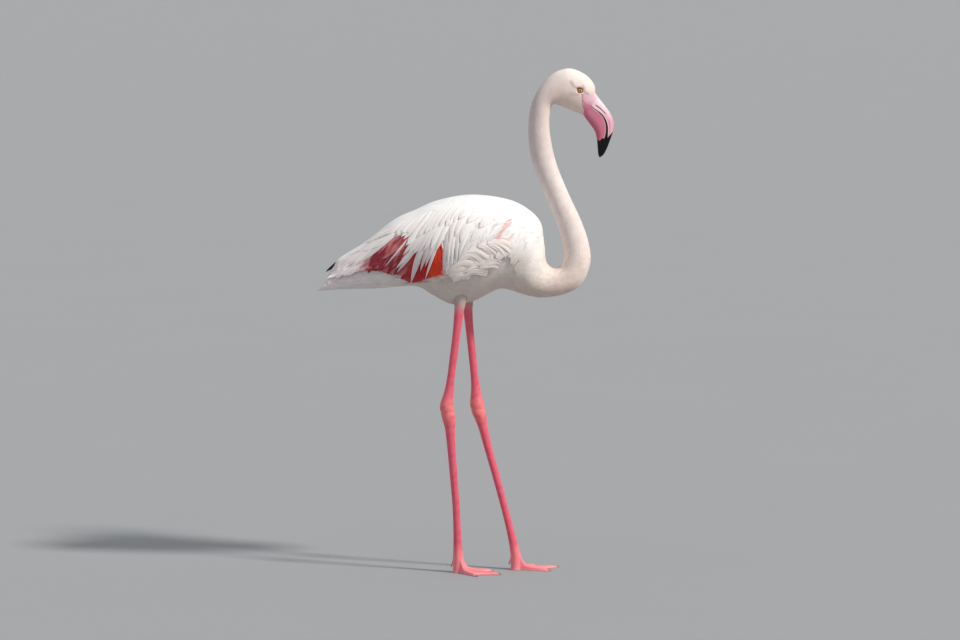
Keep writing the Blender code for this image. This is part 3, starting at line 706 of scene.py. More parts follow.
def traceLines(form, s, angle, aim, lengths, stations):
    # middle lines of vanes: from its root each follows the aim over the form in equal steps,
    # and runs straight on where the form ends
    points, normals = [], []
    for _ in range(stations):
        held = np.clip(s, 0, 1)
        point, along, around, alongRate, aroundRate, normal = formFrame(form, held, angle)
        alongRate, aroundRate = np.maximum(alongRate, 0.15), np.maximum(aroundRate, 0.002)
        points.append(point + along * ((s - held) * alongRate)[:, None])
        normals.append(normal)
        heading = aim(held, angle, point, along, around)
        lean = (along * around).sum(1)
        a, b = (heading * along).sum(1), (heading * around).sum(1)
        a, b = (a - lean * b) / (1 - lean**2), (b - lean * a) / (1 - lean**2)
        step = lengths / (stations - 1) / np.sqrt(np.maximum(a * a + b * b + 2 * a * b * lean, 1e-9))
        s, angle = s + a * step / alongRate, angle + b * step / aroundRate
    return np.stack(points, axis=1), np.stack(normals, axis=1)


def growVanes(name, lines, normals, heights, widths, look, tints, roots, material, replaced=()):
    # a closed thin vane along each line: at every station a small section across it, raised
    # off the form by its height, drooping to its edges, with a pole at the root and the tip
    count, stations = lines.shape[:2]
    draw = np.random.default_rng(look["seed"])
    section = np.array(vaneSections[look.get("section", "small")])
    sides, rings = len(section), stations - 1
    middle = lines + normals * heights[..., None]
    way = unit(np.gradient(middle, axis=1))
    across = unit(np.cross(way, normals))
    up = np.cross(across, way)
    roll = np.radians(draw.normal(0, look["roll"], count))[:, None, None]
    across, up = across * np.cos(roll) + up * np.sin(roll), up * np.cos(roll) - across * np.sin(roll)
    t = np.linspace(0, 1, stations)
    shape = np.interp(t, np.linspace(0, 1, len(look["outline"])), look["outline"])
    half = widths[:, None] / 2 * shape[None] * (1 + look.get("rag", 0.0) * draw.normal(0, 1, (count, stations)))
    half = half[:, :rings, None, None]
    drop = -look["camber"] * section[:, 0] ** 2
    thick = look["thick"] / 2 * section[:, 1]
    rise = drop[:, None] * half + thick[:, None] * np.minimum(1, 4 * shape[:rings])[:, None, None]
    ring = middle[:, :rings, None] + across[:, :rings, None] * section[:, 0][:, None] * half
    ring = ring + up[:, :rings, None] * rise
    poles = np.stack([middle[:, 0] - way[:, 0] * widths[:, None] * 0.08, middle[:, -1]], axis=1)
    points = np.concatenate([ring.reshape(count, rings * sides, 3), poles], axis=1)
    each = rings * sides + 2
    base = (np.arange(count) * each)[:, None, None]
    quads = (tubeFaces(rings, sides)[None] + base).reshape(-1, 4)
    fans = np.vstack([
        fanFaces(0, sides, each - 2, True),
        fanFaces((rings - 1) * sides, sides, each - 1, False),
    ])
    fans = (fans[None] + base).reshape(-1, 3)
    aside = np.concatenate([np.tile(section[:, 0], rings), [0, 0]])
    alongVane = np.concatenate([np.repeat(t[:rings], sides), [-0.08, 1.0]])
    local = np.stack([aside, alongVane], axis=1)
    own = np.broadcast_to(draw.uniform(0, 1, (count, 1))[:, None], (count, each, 1))
    vane = np.concatenate([np.broadcast_to(local, (count, each, 2)), own], axis=2)
    patch = roots[:, None] + (local - [0, 0.5]) * [vanePatch["half"], vanePatch["long"]]
    ends = mix(tints[0][:, None], tints[1][:, None], ease(alongVane, *look.get("fade", (0.1, 0.8)))[None])
    mesh = makeMesh(name, points.reshape(-1, 3), [quads, fans], patch.reshape(-1, 2), vanePatch["sharp"],
                    tint=colour4(ends.reshape(-1, 3)), vane=vane.reshape(-1, 3))
    addPiece(name, mesh, material, replaced)


def scatterRoots(first, last, rowGap, gap, seed):
    # roots in staggered rows over the body between two of its stations, evenly spaced along
    # its longer rail and around each section, with a little disorder
    draw = np.random.default_rng(seed)
    s = np.linspace(shareOf(first), shareOf(last), 400)
    row = bodyRows(s)
    back, belly = (np.hypot(*np.diff(row[:, k:k + 2], axis=0).T) for k in (0, 2))
    rails = np.maximum(back, belly)
    travel = np.concatenate([[0], np.cumsum(rails)])
    rowS = np.interp(np.arange(0.5 * rowGap, travel[-1], rowGap), travel, s)
    row = bodyRows(rowS)
    around = np.pi * (np.linalg.norm(row[:, 0:2] - row[:, 2:4], axis=1) / 2 + row[:, 4])
    many = np.maximum((around / gap).astype(int), 6)
    index = np.repeat(np.arange(len(rowS)), many)
    within = np.arange(many.sum()) - np.repeat(np.cumsum(many) - many, many)
    angle = within + 0.5 * (index % 2) + draw.uniform(-0.3, 0.3, len(within))
    angle = angle / many[index] * 2 * np.pi - np.pi
    step = (shareOf(last) - shareOf(first)) / len(rowS)
    s = np.clip(rowS[index] + draw.uniform(-0.35, 0.35, len(index)) * step, shareOf(first), shareOf(last))
    return s, angle


def unwrap(s, angle, first, last):
    # where a root lies on the form's own unwrap: around across, along up
    u = 0.02 + 0.96 * (angle / (2 * np.pi) + 0.5)
    v = 0.02 + 0.96 * (s - shareOf(first)) / (shareOf(last) - shareOf(first))
    return np.clip(np.stack([u, v], axis=1), 0.003, 0.997)


# How deep the skin lies below the tips of the coat, and how far back its vanes may reach.
coatDepths = {
    "billBase": 0.0005, "eye": 0.0007, "nape": 0.0009, "neckTop": 0.0011, "neckFront": 0.0013,
    "bendUnder": 0.0016, "breast": 0.0022, "backFront": 0.0026, "rump": 0.0024, "tailMid": 0.0018,
    "tailTip": 0.0010,
}
coatRear = -0.3425


def coatDepth(s):
    return alongBody(s, coatDepths)


def layHeights(depth, stations, lift, curl):
    # each vane leaves the skin at its root and comes up to the coat's surface at its tip
    t = np.linspace(0, 1, stations)
    return -depth[:, None] * 0.80 * (1 - t**0.3) + lift[:, None] * t + curl[:, None] * t**3


def bodyAim(s, angle, point, along, around):
    return along


def roundTheEye(s, angle, point, along, around):
    # along the body, parting round each eye as water parts round a post
    middle = np.array(eyeForm["centre"])
    away = point - origin - np.where(point[:, 1:2] > origin[1], middle, middle * [1, -1, 1])
    far = np.maximum(np.linalg.norm(away, axis=1), 0.004)
    outward = away / far[:, None]
    ahead = (along * outward).sum(1)[:, None]
    return along + (eyeForm["partsFor"] / far[:, None]) ** 2 * (along - 2 * ahead * outward)


def jittered(aim, spread, seed):
    # the same aim turned a little, another way for each vane
    def turned(s, angle, point, along, around):
        heading = unit(aim(s, angle, point, along, around))
        sway = np.radians(np.random.default_rng(seed).normal(0, spread, len(s)))[:, None]
        return heading * np.cos(sway) + np.cross(unit(np.cross(around, along)), heading) * np.sin(sway)
    return turned


# How much the vanes of a coat differ: their size, and the least and most share of what the
# coat says for their length, width, lift and curl.
coatVary = {"size": 0.16, "length": (0.6, 1.5), "width": (0.7, 1.3), "lift": (0.7, 1.2), "curl": (0.45, 0.95)}


def coatPiece(name, look, form, aim, keep, tintOf, material):
    # one whole field of the coat: roots scattered, kept where wanted, traced and grown
    first, last = look["from"], look["to"]
    s, angle = scatterRoots(first, last, look["row"], look["gap"], look["seed"])
    point = form(s, angle)
    kept = keep(s, angle, point)
    s, angle, point = s[kept], angle[kept], point[kept]
    draw = np.random.default_rng(look["seed"] + 50)
    share = (s - shareOf(first)) / (shareOf(last) - shareOf(first))
    sizes = 1 + coatVary["size"] * draw.normal(0, 1, len(s))
    lengths = np.interp(share, [0, 1], look["length"]) * np.clip(sizes, *coatVary["length"])
    widths = np.interp(share, [0, 1], look["width"]) * np.clip(sizes, *coatVary["width"])
    lengths = np.minimum(lengths, np.maximum((point[:, 0] - origin[0] - coatRear) * 1.1, 0.006))
    if look.get("hemmed"):
        over = aboveHem(point, 0.008)
        toHem = over * 1.15 + 0.005 * draw.uniform(-0.5, 1, len(s))
        lengths = np.where(over > 0, np.clip(toHem, 0.012, np.maximum(lengths, 0.012)), lengths)
    aim = jittered(aim, look["sway"], look["seed"])
    lines, normals = traceLines(form, s, angle, aim, lengths, look["stations"])
    lift = look["lift"] * draw.uniform(*coatVary["lift"], len(s))
    curl = look["curl"] * draw.uniform(*coatVary["curl"], len(s))
    heights = layHeights(coatDepth(s), look["stations"], lift, curl)
    shown = lines[:, int(0.6 * look["stations"])]
    tips = tintOf(shown, s, angle) * (1 + look["vary"] * draw.normal(0, 1, (len(s), 1)))
    # roots a little darker: painted shade under the vanes that overlap them
    bases = tips * np.array(look.get("base", (0.97, 0.965, 0.96)))
    ends = (np.clip(bases, 0, 1), np.clip(tips, 0, 1))
    growVanes(name, lines, normals, heights, widths, look, ends, unwrap(s, angle, first, last), material)


# The skin.

# A leg's line (height, x, y) and its half depth and half breadth (height, depth, breadth).
legForm = {
    "right": (
        (0.700, -0.0080, -0.0350), (0.611, -0.0175, -0.0343), (0.513, -0.0293, -0.0332),
        (0.435, -0.0398, -0.0318), (0.396, -0.0455, -0.0306), (0.372, -0.0413, -0.0296),
        (0.345, -0.0382, -0.0280), (0.306, -0.0355, -0.0252), (0.239, -0.0301, -0.0201),
        (0.160, -0.0240, -0.0144), (0.101, -0.0214, -0.0102), (0.062, -0.0202, -0.0078),
        (0.034, -0.0192, -0.0060),
    ),
    "left": (
        (0.700, -0.0010, 0.0350), (0.604, 0.0048, 0.0352), (0.505, 0.0148, 0.0354),
        (0.426, 0.0225, 0.0356), (0.387, 0.0264, 0.0357), (0.363, 0.0328, 0.0358),
        (0.336, 0.0400, 0.0359), (0.296, 0.0499, 0.0360), (0.229, 0.0685, 0.0361),
        (0.149, 0.0898, 0.0362), (0.110, 0.0998, 0.0363), (0.067, 0.1100, 0.0364),
        (0.034, 0.1170, 0.0365),
    ),
    "size": (
        (0.700, 0.0210, 0.0100), (0.668, 0.0172, 0.0108), (0.645, 0.0142, 0.0116),
        (0.628, 0.0120, 0.0109), (0.600, 0.0104, 0.0096), (0.513, 0.0092, 0.0084), (0.435, 0.0106, 0.0092),
        (0.412, 0.0136, 0.0118), (0.392, 0.0166, 0.0140), (0.372, 0.0164, 0.0142),
        (0.345, 0.0120, 0.0112), (0.306, 0.0100, 0.0088), (0.239, 0.0092, 0.0079),
        (0.110, 0.0090, 0.0079), (0.062, 0.0104, 0.0092), (0.034, 0.0126, 0.0112),
    ),
    "toesOut": {"right": -21.0, "left": 19.0},
    "ankle": 0.034,
    # each band: two heights, and how many rings lie between them
    "bands": ((0.690, 0.430, 40), (0.430, 0.335, 44), (0.335, 0.070, 46), (0.070, 0.034, 12)),
    "knobs": ((0.398, 0.011, 1.0), (0.366, 0.010, 0.8)),  # the hock's swellings: height, spread, share
    "groove": (0.383, 0.0035),  # the furrow between them: height, spread
    "knobHigh": 0.10, "grooveDeep": 0.055, "tendonDeep": 0.06, "ringHigh": 0.012, "ringGap": 0.0062,
}
footForm = {
    "angles": {"inner": 36.0, "middle": 0.0, "outer": -34.0},
    "lengths": {"inner": 0.083, "middle": 0.105, "outer": 0.0775},
    "halfWidth": 0.0063, "toeHeight": 0.0104, "tipHeight": 0.0052, "web": 0.0028,
    "heel": 0.0122, "scallop": 0.20,
    "spread": (0.03, 0.07, 0.12, 0.18, 0.25, 0.33, 0.42, 0.51, 0.60, 0.69, 0.77, 0.84, 0.90, 0.95, 0.985, 1.0),
    "knuckles": {"inner": (0.40, 0.72), "middle": (0.32, 0.58, 0.80), "outer": (0.30, 0.52, 0.76)},
    "claw": {"back": 0.0042, "up": 0.0028, "long": 0.0088, "radius": 0.0019, "droop": 0.0012},
    "hindClaw": {"along": 0.0158, "long": 0.0068, "radius": 0.0016},
    "hindToe": {"long": 0.0215, "radius": 0.0036, "behind": 0.0088, "up": 0.0325},
}
skinForm = {"bodySides": 120, "legSides": 108, "headRings": 120, "neckRings": 100, "trunkRings": 80}


def legCentre(side, heights):
    # x and y of the leg's middle line
    line = np.array(legForm[side])[::-1]
    return smoothColumn(heights, line[:, 0], line[:, 1]), smoothColumn(heights, line[:, 0], line[:, 2])


def footAngles(sides):
    # directions round the ankle in the foot's own frame, crowded over the toes
    front = np.linspace(-52, 52, int(sides * 0.7), endpoint=False)
    back = np.linspace(52, 308, sides - len(front), endpoint=False)
    return np.radians(np.concatenate([front, back]))


def footOutline(phi):
    # how far the foot reaches in a direction: the furthest of three toes, each a bar with a
    # round end, the scalloped webs between them, and the heel
    reach = np.full(len(phi), footForm["heel"])
    toes = sorted(footForm["angles"], key=footForm["angles"].get)
    for toe in toes:
        off = np.abs(phi - math.radians(footForm["angles"][toe]))
        long, half = footForm["lengths"][toe], footForm["halfWidth"] * 0.72
        bar = np.where(off < 1.2, half / np.maximum(np.sin(np.minimum(off, 1.2)), 1e-3), 0)
        tip = long * (1 - 0.55 * np.minimum(off * long / half, 1.5) ** 2 * half / long)
        reach = np.maximum(reach, np.minimum(bar, tip))
    for one, two in zip(toes, toes[1:]):
        a, b = (math.radians(footForm["angles"][toe]) for toe in (one, two))
        share = np.clip((phi - a) / (b - a), 0, 1)
        between = footForm["lengths"][one] + (footForm["lengths"][two] - footForm["lengths"][one]) * share
        web = between * (0.93 - footForm["scallop"] * np.sin(np.pi * share)) * ((phi > a) & (phi < b))
        reach = np.maximum(reach, web)
    return reach


def footHeight(flat, columns):
    # the foot's upper side: thin web with fine creases, and a rounded ridge along each toe
    # that sinks to its tip and swells at its knuckles
    x, y = flat[..., 0], flat[..., 1]
    high = np.full(x.shape, footForm["web"])
    for toe, degrees in footForm["angles"].items():
        a = math.radians(degrees)
        ahead, aside = x * math.cos(a) + y * math.sin(a), -x * math.sin(a) + y * math.cos(a)
        go = np.clip(ahead / footForm["lengths"][toe], 0, 1)
        ridge = footForm["toeHeight"] + (footForm["tipHeight"] - footForm["toeHeight"]) * go**0.8
        for knuckle in footForm["knuckles"][toe]:
            ridge = ridge + 0.0009 * bumpAt(go, knuckle, 0.045)
        half = footForm["halfWidth"] * (1.1 - 0.25 * go)
        onToe = np.exp(-np.abs(aside / half) ** 2.4) * (ahead > -0.004)
        high = np.maximum(high, footForm["web"] + (ridge - footForm["web"]) * onToe)
    crease = 0.00035 * np.sin(np.hypot(x, y) * 900 + 5 * np.sin(columns * 9)) * (high < 0.004)
    return high + crease


def legAndFoot(side):
    # one closed tube from inside the body down the leg to the ankle, spreading into the foot
    # and closing under its flat sole; gives its rings, and the middle of the ankle in x and y
    phi = footAngles(skinForm["legSides"])
    inward = -1 if side == "left" else 1
    turnOut = math.radians(legForm["toesOut"][side])
    world = turnOut + phi * inward
    ankle, bands = legForm["ankle"], legForm["bands"]
    heights = np.concatenate([np.linspace(*band, endpoint=band is bands[-1]) for band in bands])
    size = np.array(legForm["size"])[::-1]
    depth, breadth = (smoothColumn(heights, size[:, 0], size[:, k]) - 0.0002 for k in (1, 2))
    x, y = legCentre(side, heights)
    h, w = np.meshgrid(heights, world, indexing="ij")
    knob = sum(strong * bumpAt(h, at, spread) for at, spread, strong in legForm["knobs"])
    groove = bumpAt(h, *legForm["groove"])
    sideways = np.abs(np.sin(w)) ** 3
    tendon = bumpAt(np.cos(w), -0.55, 0.16) * ease(h, 0.345, 0.30) * ease(-h, -0.60, -0.45)
    plates = legForm["ringHigh"] * np.sin(h * 2 * np.pi / legForm["ringGap"]) * (np.cos(w) > 0.55)
    swell = 1 + legForm["knobHigh"] * knob * sideways - legForm["grooveDeep"] * groove
    swell = swell - legForm["tendonDeep"] * tendon + plates * ease(-h, -0.36, -0.33)
    ahead = x[:, None] + depth[:, None] * np.cos(w) * swell
    aside = y[:, None] + breadth[:, None] * np.sin(w) * swell
    rings = np.stack([ahead, aside, h], axis=-1)
    centre = np.array([x[-1], y[-1]])
    ahead = np.array([math.cos(turnOut), math.sin(turnOut)])
    left = np.array([-ahead[1], ahead[0]])
    reach = footOutline(phi)
    ends = centre + np.outer(reach * np.cos(phi), ahead) + np.outer(reach * np.sin(phi) * inward, left)
    collar = rings[-1, :, :2]
    shares = np.array(footForm["spread"])
    spread = collar[None] + (ends - collar)[None] * shares[:, None, None]
    local = spread - centre
    flat = np.stack([local @ ahead, local @ left * inward], axis=-1)
    high = footHeight(flat, phi[None])
    fall = np.exp(-shares[:, None] * np.maximum(reach, 0.030)[None] / 0.0085)
    high = high + (ankle - high) * fall
    rim = 1 - ease(shares, 0.86, 1.0)[:, None] * 0.45
    upper = np.concatenate([spread, (high * rim)[..., None]], axis=-1)
    under = ((1.0, 0.0004), (0.985, 0.0), (0.6, 0.0), (0.25, 0.0))
    sole = [np.column_stack([centre + (ends - centre) * k, np.full(len(phi), z)]) for k, z in under]
    rings = np.concatenate([rings, upper, np.stack(sole)])
    if side == "left":  # the inner side is mirrored, so the columns run the other way round
        rings = rings[:, ::-1]
    return rings + origin, centre


def spike(root, way, long, radius, droop, sides=14, rings=10):
    # a round horn from its root to a blunt tip: radius falls as a root of the way left,
    # and the middle line bends down by the square of the way gone
    way = unit(np.asarray(way, float))
    aside = unit(np.cross([0, 0, 1], way))
    up = np.cross(way, aside)
    t = np.linspace(0, 1, rings)[:, None, None]
    turn = (np.arange(sides) * 2 * np.pi / sides)[None, :, None]
    size = radius * (1 - t) ** 0.62 + 0.00025
    middle = np.asarray(root) + way * long * t - np.array([0, 0, 1.0]) * droop * t**2
    return middle + np.cos(turn) * aside * size + np.sin(turn) * up * size * 0.86


def toeWay(side, degrees):
    # the level direction of a toe, so many degrees inwards of the foot's middle toe
    turned = math.radians(legForm["toesOut"][side] + degrees * (-1 if side == "left" else 1))
    return np.array([math.cos(turned), math.sin(turned), 0.0])


def ankleFoot(side):
    # the floor under the ankle
    x, y = legCentre(side, np.array([legForm["ankle"]]))
    return np.array([x[0], y[0], 0.0])


def hindToe(side):
    # root and direction of the small toe that hangs behind the ankle
    form = footForm["hindToe"]
    behind = -toeWay(side, 12.0)
    hanging = unit(behind * 0.42 + np.array([0, 0, -1.0]))
    return ankleFoot(side) + behind * form["behind"] + np.array([0, 0, form["up"]]), hanging


def eyelid(sign):
    # a ring of lid round each eye: at every angle a profile from the eyeball out over a
    # rounded rim and down to the skin, closed underneath
    centre, radius = np.array(eyeForm["centre"]), eyeForm["radius"]
    turn = np.linspace(0, 2 * np.pi, eyeForm["lidSides"], endpoint=False)
    a, r = np.meshgrid(turn, eyeForm["lidProfile"], indexing="ij")
    long, high = eyeForm["openingLong"], eyeForm["openingHigh"]
    point, wide = 1 + eyeForm["corner"] * np.abs(np.cos(a)) ** 5, eyeForm["lidWide"]
    dx = (long + wide * r) * np.cos(a) * (1 + (point - 1) * (1 - r))
    dz = (high + wide * r) * np.sin(a) * (1 - eyeForm["upperLidLow"] * (np.sin(a) > 0) * (1 - r))
    tilt = math.radians(eyeForm["tilt"])
    x = centre[0] + dx * math.cos(tilt) - dz * math.sin(tilt)
    z = centre[2] + dx * math.sin(tilt) + dz * math.cos(tilt)
    ball = centre[1] + np.sqrt(np.maximum(radius**2 - (x - centre[0]) ** 2 - (z - centre[2]) ** 2, 1e-7))
    s, angle = placeAt(bodyRows, "billBase", "nape", x.ravel(), z.ravel())
    outside = np.abs(bodyPoint(s, angle)[:, 1] - origin[1]).reshape(x.shape)
    skin = outside - coatDepth(s).reshape(x.shape) - 0.0004
    rim = sum(tall * bumpAt(r, at, spread) for tall, at, spread in (eyeForm["rim"], eyeForm["fold"]))
    y = ball * (1 - ease(r, 0.0, 0.9)) + skin * ease(r, 0.0, 0.9) + rim - 0.0002 * (r == 0)
    top = np.stack([x, y * sign, z], axis=-1)
    under = np.stack([x, (y - eyeForm["lidDeep"]) * sign, z], axis=-1)[:, ::-1]
    profile = np.concatenate([top, under], axis=1)
    if sign > 0:
        profile = profile[:, ::-1]
    return profile + origin


def ringSolid(profile):
    # faces of a ring: its profile carried round and joined to its own start
    around, sides = profile.shape[:2]
    r, c = np.meshgrid(np.arange(around), np.arange(sides), indexing="ij")
    a, b = r * sides + c, r * sides + (c + 1) % sides
    ahead = ((r + 1) % around) * sides
    quads = np.stack([a, b, ahead + (c + 1) % sides, ahead + c], axis=-1).reshape(-1, 4)
    return profile.reshape(-1, 3), quads


def joinSolid(target, other):
    # the union of two closed meshes, applied
    step = target.modifiers.new("join", "BOOLEAN")
    step.operation, step.solver, step.object = "UNION", "EXACT", other
    bpy.context.view_layer.update()
    joined = bpy.data.meshes.new_from_object(target.evaluated_get(bpy.context.evaluated_depsgraph_get()))
    target.modifiers.clear()
    old, target.data = target.data, joined
    bpy.data.meshes.remove(old)
    bpy.data.objects.remove(other)


def looseObject(name, points, faces):
    made = bpy.data.objects.new(name, makeMesh(name, points, faces))
    bpy.context.scene.collection.objects.link(made)
    return made


def bodySkin():
    # rings along the body, a coat's depth inside its outer form
    head, neck = shareOf("neckBend"), shareOf("chest")
    s = np.concatenate([
        np.linspace(0, head, skinForm["headRings"], endpoint=False),
        np.linspace(head, neck, skinForm["neckRings"], endpoint=False),
        np.linspace(neck, 1.0, skinForm["trunkRings"]),
    ])
    angle = np.arange(skinForm["bodySides"]) * 2 * np.pi / skinForm["bodySides"]
    gridS, gridA = (g.ravel() for g in np.meshgrid(s, angle, indexing="ij"))
    point, *_, normal = formFrame(bodyPoint, gridS, gridA)
    depth = np.where(bareFace(point), 0.0003, coatDepth(gridS))
    rings = (point - normal * depth[:, None]).reshape(len(s), -1, 3)
    return closedTube(rings)


def skinTint(points):
    # the skin's colour by place: legs and feet, bare face, eye rims, and the coat's own
    # colour under the coat; and how scaly, how much a foot's and how bare each place is
    x, z = sidePlace(points)
    tint, place = np.zeros((len(points), 3)), np.zeros((len(points), 3))
    parts = (
        ("billBase", "throat", 1.07, 2.0), ("throat", "bendFore", 0.74, 1.09), ("bendLow", "tailTip", -1.0, 1.2),
    )
    for first, last, low, high in parts:
        part = (z > low) & (z <= high) if first != "bendLow" else (z < 0.90) & (x < 0.235)
        s, angle = placeAt(bodyRows, first, last, x[part], z[part])
        tint[part] = plumageTint(points[part], s, angle) * 0.97
    bare = bareFace(points)
    tint[bare], place[bare, 2] = faceTint(x[bare], z[bare]), 1.0
    eye = np.where(z > 1.05, eyeShare(x, z), 9.0)
    tint = mix(tint, bareSkin["eyeRim"], ease(eye, 1.18, 1.32) * (1 - ease(eye, 1.80, 2.30)))
    tint = mix(tint, bareSkin["lidEdge"], 1 - ease(eye, 1.14, 1.30))
    leg = 1 - ease(z, 0.622, 0.640)
    tone = mix(bareSkin["leg"][None], bareSkin["hock"], bumpAt(z, *bareSkin["hockBand"]))
    tone = mix(tone, bareSkin["legDeep"], 0.35 * ease(mottle(points, 0.018, 9), 0.2, 1.0))
    tone = mix(tone, bareSkin["thigh"], 0.6 * ease(z, 0.600, 0.640))
    tone = mix(tone, bareSkin["foot"], ease(-z, -0.075, -0.030))
    tone = mix(tone, bareSkin["web"], ease(-z, -0.006, -0.003))
    place[:, 0], place[:, 1] = leg, ease(-z, -0.050, -0.030)
    place[:, 2] = np.maximum(place[:, 2], np.maximum(0.8 * leg, eye < 1.9))
    return mix(tint, tone, leg), place


def makeSkin():
    # one closed surface: the body, with legs, hind toes and lids joined on
    skin = looseObject("skin", *bodySkin())
    for side, sign in bothSides.items():
        rings, centre = legAndFoot(side)
        points, faces = closedTube(rings, last=np.array([*(centre + origin[:2]), origin[2]]))
        joinSolid(skin, looseObject("leg", points, [f[:, ::-1] for f in faces]))
        root, hanging = hindToe(side)
        form = footForm["hindToe"]
        toe = spike(root - hanging * 0.003 + origin, hanging, form["long"], form["radius"], 0.0)
        points, faces = closedTube(toe)
        joinSolid(skin, looseObject("toe", points, faces))
        points, quads = ringSolid(eyelid(sign))
        joinSolid(skin, looseObject("lid", points, [quads]))
    mesh = skin.data
    points = np.zeros(len(mesh.vertices) * 3, np.float32)
    mesh.vertices.foreach_get("co", points)
    points = points.reshape(-1, 3).astype(float)
    tint, place = skinTint(points)
    addField(mesh, "tint", colour4(tint))
    addField(mesh, "place", place)
    mesh.shade_smooth()
    mesh.set_sharp_from_angle(angle=math.radians(70))
    mesh.materials.append(materials["skin"])
    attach(skin, "root")
    fleshNodes = ["head", "neck_upper", "neck_middle", "neck_lower", "neck_base", "trunk", "tail"]
    legNodes = ("thigh", "shank", "hock", "tarsus", "foot", "hind_toe")
    fleshNodes += [f"{part}_{side}" for part in legNodes for side in bothSides]
    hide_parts(*fleshNodes)
    print("skin", len(mesh.polygons), "faces")


makeSkin()


# Eyes, bill and claws.

def makeEye(side, sign):
    # a ball about its own axis, which points out of the head, with a slightly bulging front
    tilt = np.linspace(0, np.pi, eyeForm["ballRings"])[1:-1]
    turn = np.arange(eyeForm["ballSides"]) * 2 * np.pi / eyeForm["ballSides"]
    t, a = np.meshgrid(tilt, turn, indexing="ij")
    radius = eyeForm["radius"] * (0.985 + eyeForm["bulge"] * bumpAt(t, 0, eyeForm["bulgeWide"]))
    centre = np.array(eyeForm["centre"]) * [1, sign, 1] + origin
    reach = radius * np.sin(t)
    rings = centre + np.stack([reach * np.cos(a), sign * radius * np.cos(t), reach * np.sin(a)], axis=-1)
    front, back = centre + [0, sign * radius[0, 0], 0], centre - [0, sign * radius[-1, 0], 0]
    points, faces = closedTube(rings, front, back)
    place = np.stack([t / np.pi, a, np.zeros_like(a)], axis=-1).reshape(-1, 3)
    place = np.vstack([place, [0, 0, 0], [1, 0, 0]])
    if sign < 0:
        faces = [f[:, ::-1] for f in faces]
    mesh = makeMesh(f"eyeball_{side}", points, faces, place=place)
    addPiece(f"eyeball_{side}", mesh, materials["eye"], [f"eye_{side}"])


# The bill from its base to its tip: ridge x, z, the line where it shuts, its keel, and the
# half widths of its two mandibles; then where its colours and grooves lie along it.
billForm = {
    "sections": np.array([
        (0.3012, 1.1264, 0.2888, 1.1033, 0.2736, 1.0750, 0.0122, 0.0125),
        (0.3100, 1.1140, 0.2950, 1.0935, 0.2785, 1.0680, 0.0126, 0.0138),
        (0.3220, 1.0990, 0.3085, 1.0838, 0.2845, 1.0600, 0.0124, 0.0146),
        (0.3350, 1.0805, 0.3190, 1.0735, 0.2915, 1.0505, 0.0116, 0.0148),
        (0.3432, 1.0620, 0.3262, 1.0580, 0.2980, 1.0415, 0.0105, 0.0142),
        (0.3436, 1.0450, 0.3284, 1.0420, 0.3025, 1.0300, 0.0092, 0.0128),
        (0.3375, 1.0230, 0.3260, 1.0215, 0.3052, 1.0145, 0.0072, 0.0105),
        (0.3285, 0.9985, 0.3190, 1.0000, 0.3065, 0.9985, 0.0048, 0.0070),
        (0.3205, 0.9838, 0.3142, 0.9862, 0.3075, 0.9862, 0.0030, 0.0042),
        (0.3120, 0.9766, 0.3108, 0.9776, 0.3097, 0.9784, 0.0008, 0.0010),
    ]),
    "length": 0.175, "blackFrom": {"upper": 0.592, "lower": 0.655}, "tuckedIn": 0.05,
    "squareness": {"upper": 0.80, "lower": 0.70}, "roofPower": 0.92, "shutGap": 0.00012,
    "rings": (10, 170), "roofSides": 65, "floorSides": 15,
    "lineAt": (0.0, 0.06, 0.10, 0.20, 0.35, 0.50, 0.60, 0.70),
    "line": {
        "upper": (-1.0, 0.15, 0.4, 0.7, 1.1, 1.6, 2.1, 4.0), "lower": (-1.0, 0.2, 0.6, 1.1, 1.9, 2.8, 3.6, 6.0),
    },
    "nostril": (0.105, 0.345, 0.31, 0.40),
    "upperPinks": ((0.0, 238, 178, 194), (0.10, 246, 214, 222), (0.24, 244, 208, 218), (0.42, 238, 176, 194),
                   (0.62, 240, 186, 198)),
    "lowerPinks": ((0.0, 216, 128, 152), (0.15, 212, 120, 146), (0.40, 218, 116, 142), (0.66, 214, 108, 130)),
    # bill tones: the pale lip edges and the rib are painted highlight, the nostril and keel painted shade
    "ridgeTone": paint(226, 132, 160), "grooveTone": paint(206, 120, 140), "nostrilShade": paint(122, 22, 52),
    "ribHighlight": paint(232, 150, 172), "keelShade": paint(170, 78, 104),
    "lipHighlight": {"upper": paint(250, 226, 230), "lower": paint(248, 214, 222)},
}


def alongPinks(name, along):
    stops = np.array([(stop[0], *paint(*stop[1:])) for stop in billForm[name]])
    return toneAlong(along, stops[:, 0], stops[:, 1:])


def upperTint(along, level, fromEdge, line, slit, groove):
    # pinker along the ridge, painted highlight by the black edge, painted shade in the nostril
    lipHighlight = 0.6 * bumpAt(fromEdge, line + 0.0014, 0.0009) * ease(along, 0.1, 0.2)
    tint = alongPinks("upperPinks", along)
    tint = mix(tint, billForm["ridgeTone"], 0.6 * ease(level, 0.62, 1.0) * ease(along, 0.30, 0.48))
    tint = mix(tint, billForm["lipHighlight"]["upper"], lipHighlight)
    tint = mix(tint, billForm["grooveTone"], 0.55 * groove)
    return mix(tint, billForm["nostrilShade"], np.clip(1.15 * slit, 0, 1))


def lowerTint(along, level, fromEdge, line):
    # painted highlight along the rib and where it meets the black edge, painted shade towards the
    # keel
    lipHighlight = 0.75 * bumpAt(fromEdge, line + 0.0014, 0.0011) * ease(along, 0.05, 0.15)
    tint = alongPinks("lowerPinks", along)
    tint = mix(tint, billForm["ribHighlight"], 0.45 * bumpAt(level, 0.42, 0.22))
    tint = mix(tint, billForm["lipHighlight"]["lower"], lipHighlight)
    return mix(tint, billForm["keelShade"], 0.60 * ease(level, 0.62, 1.0))


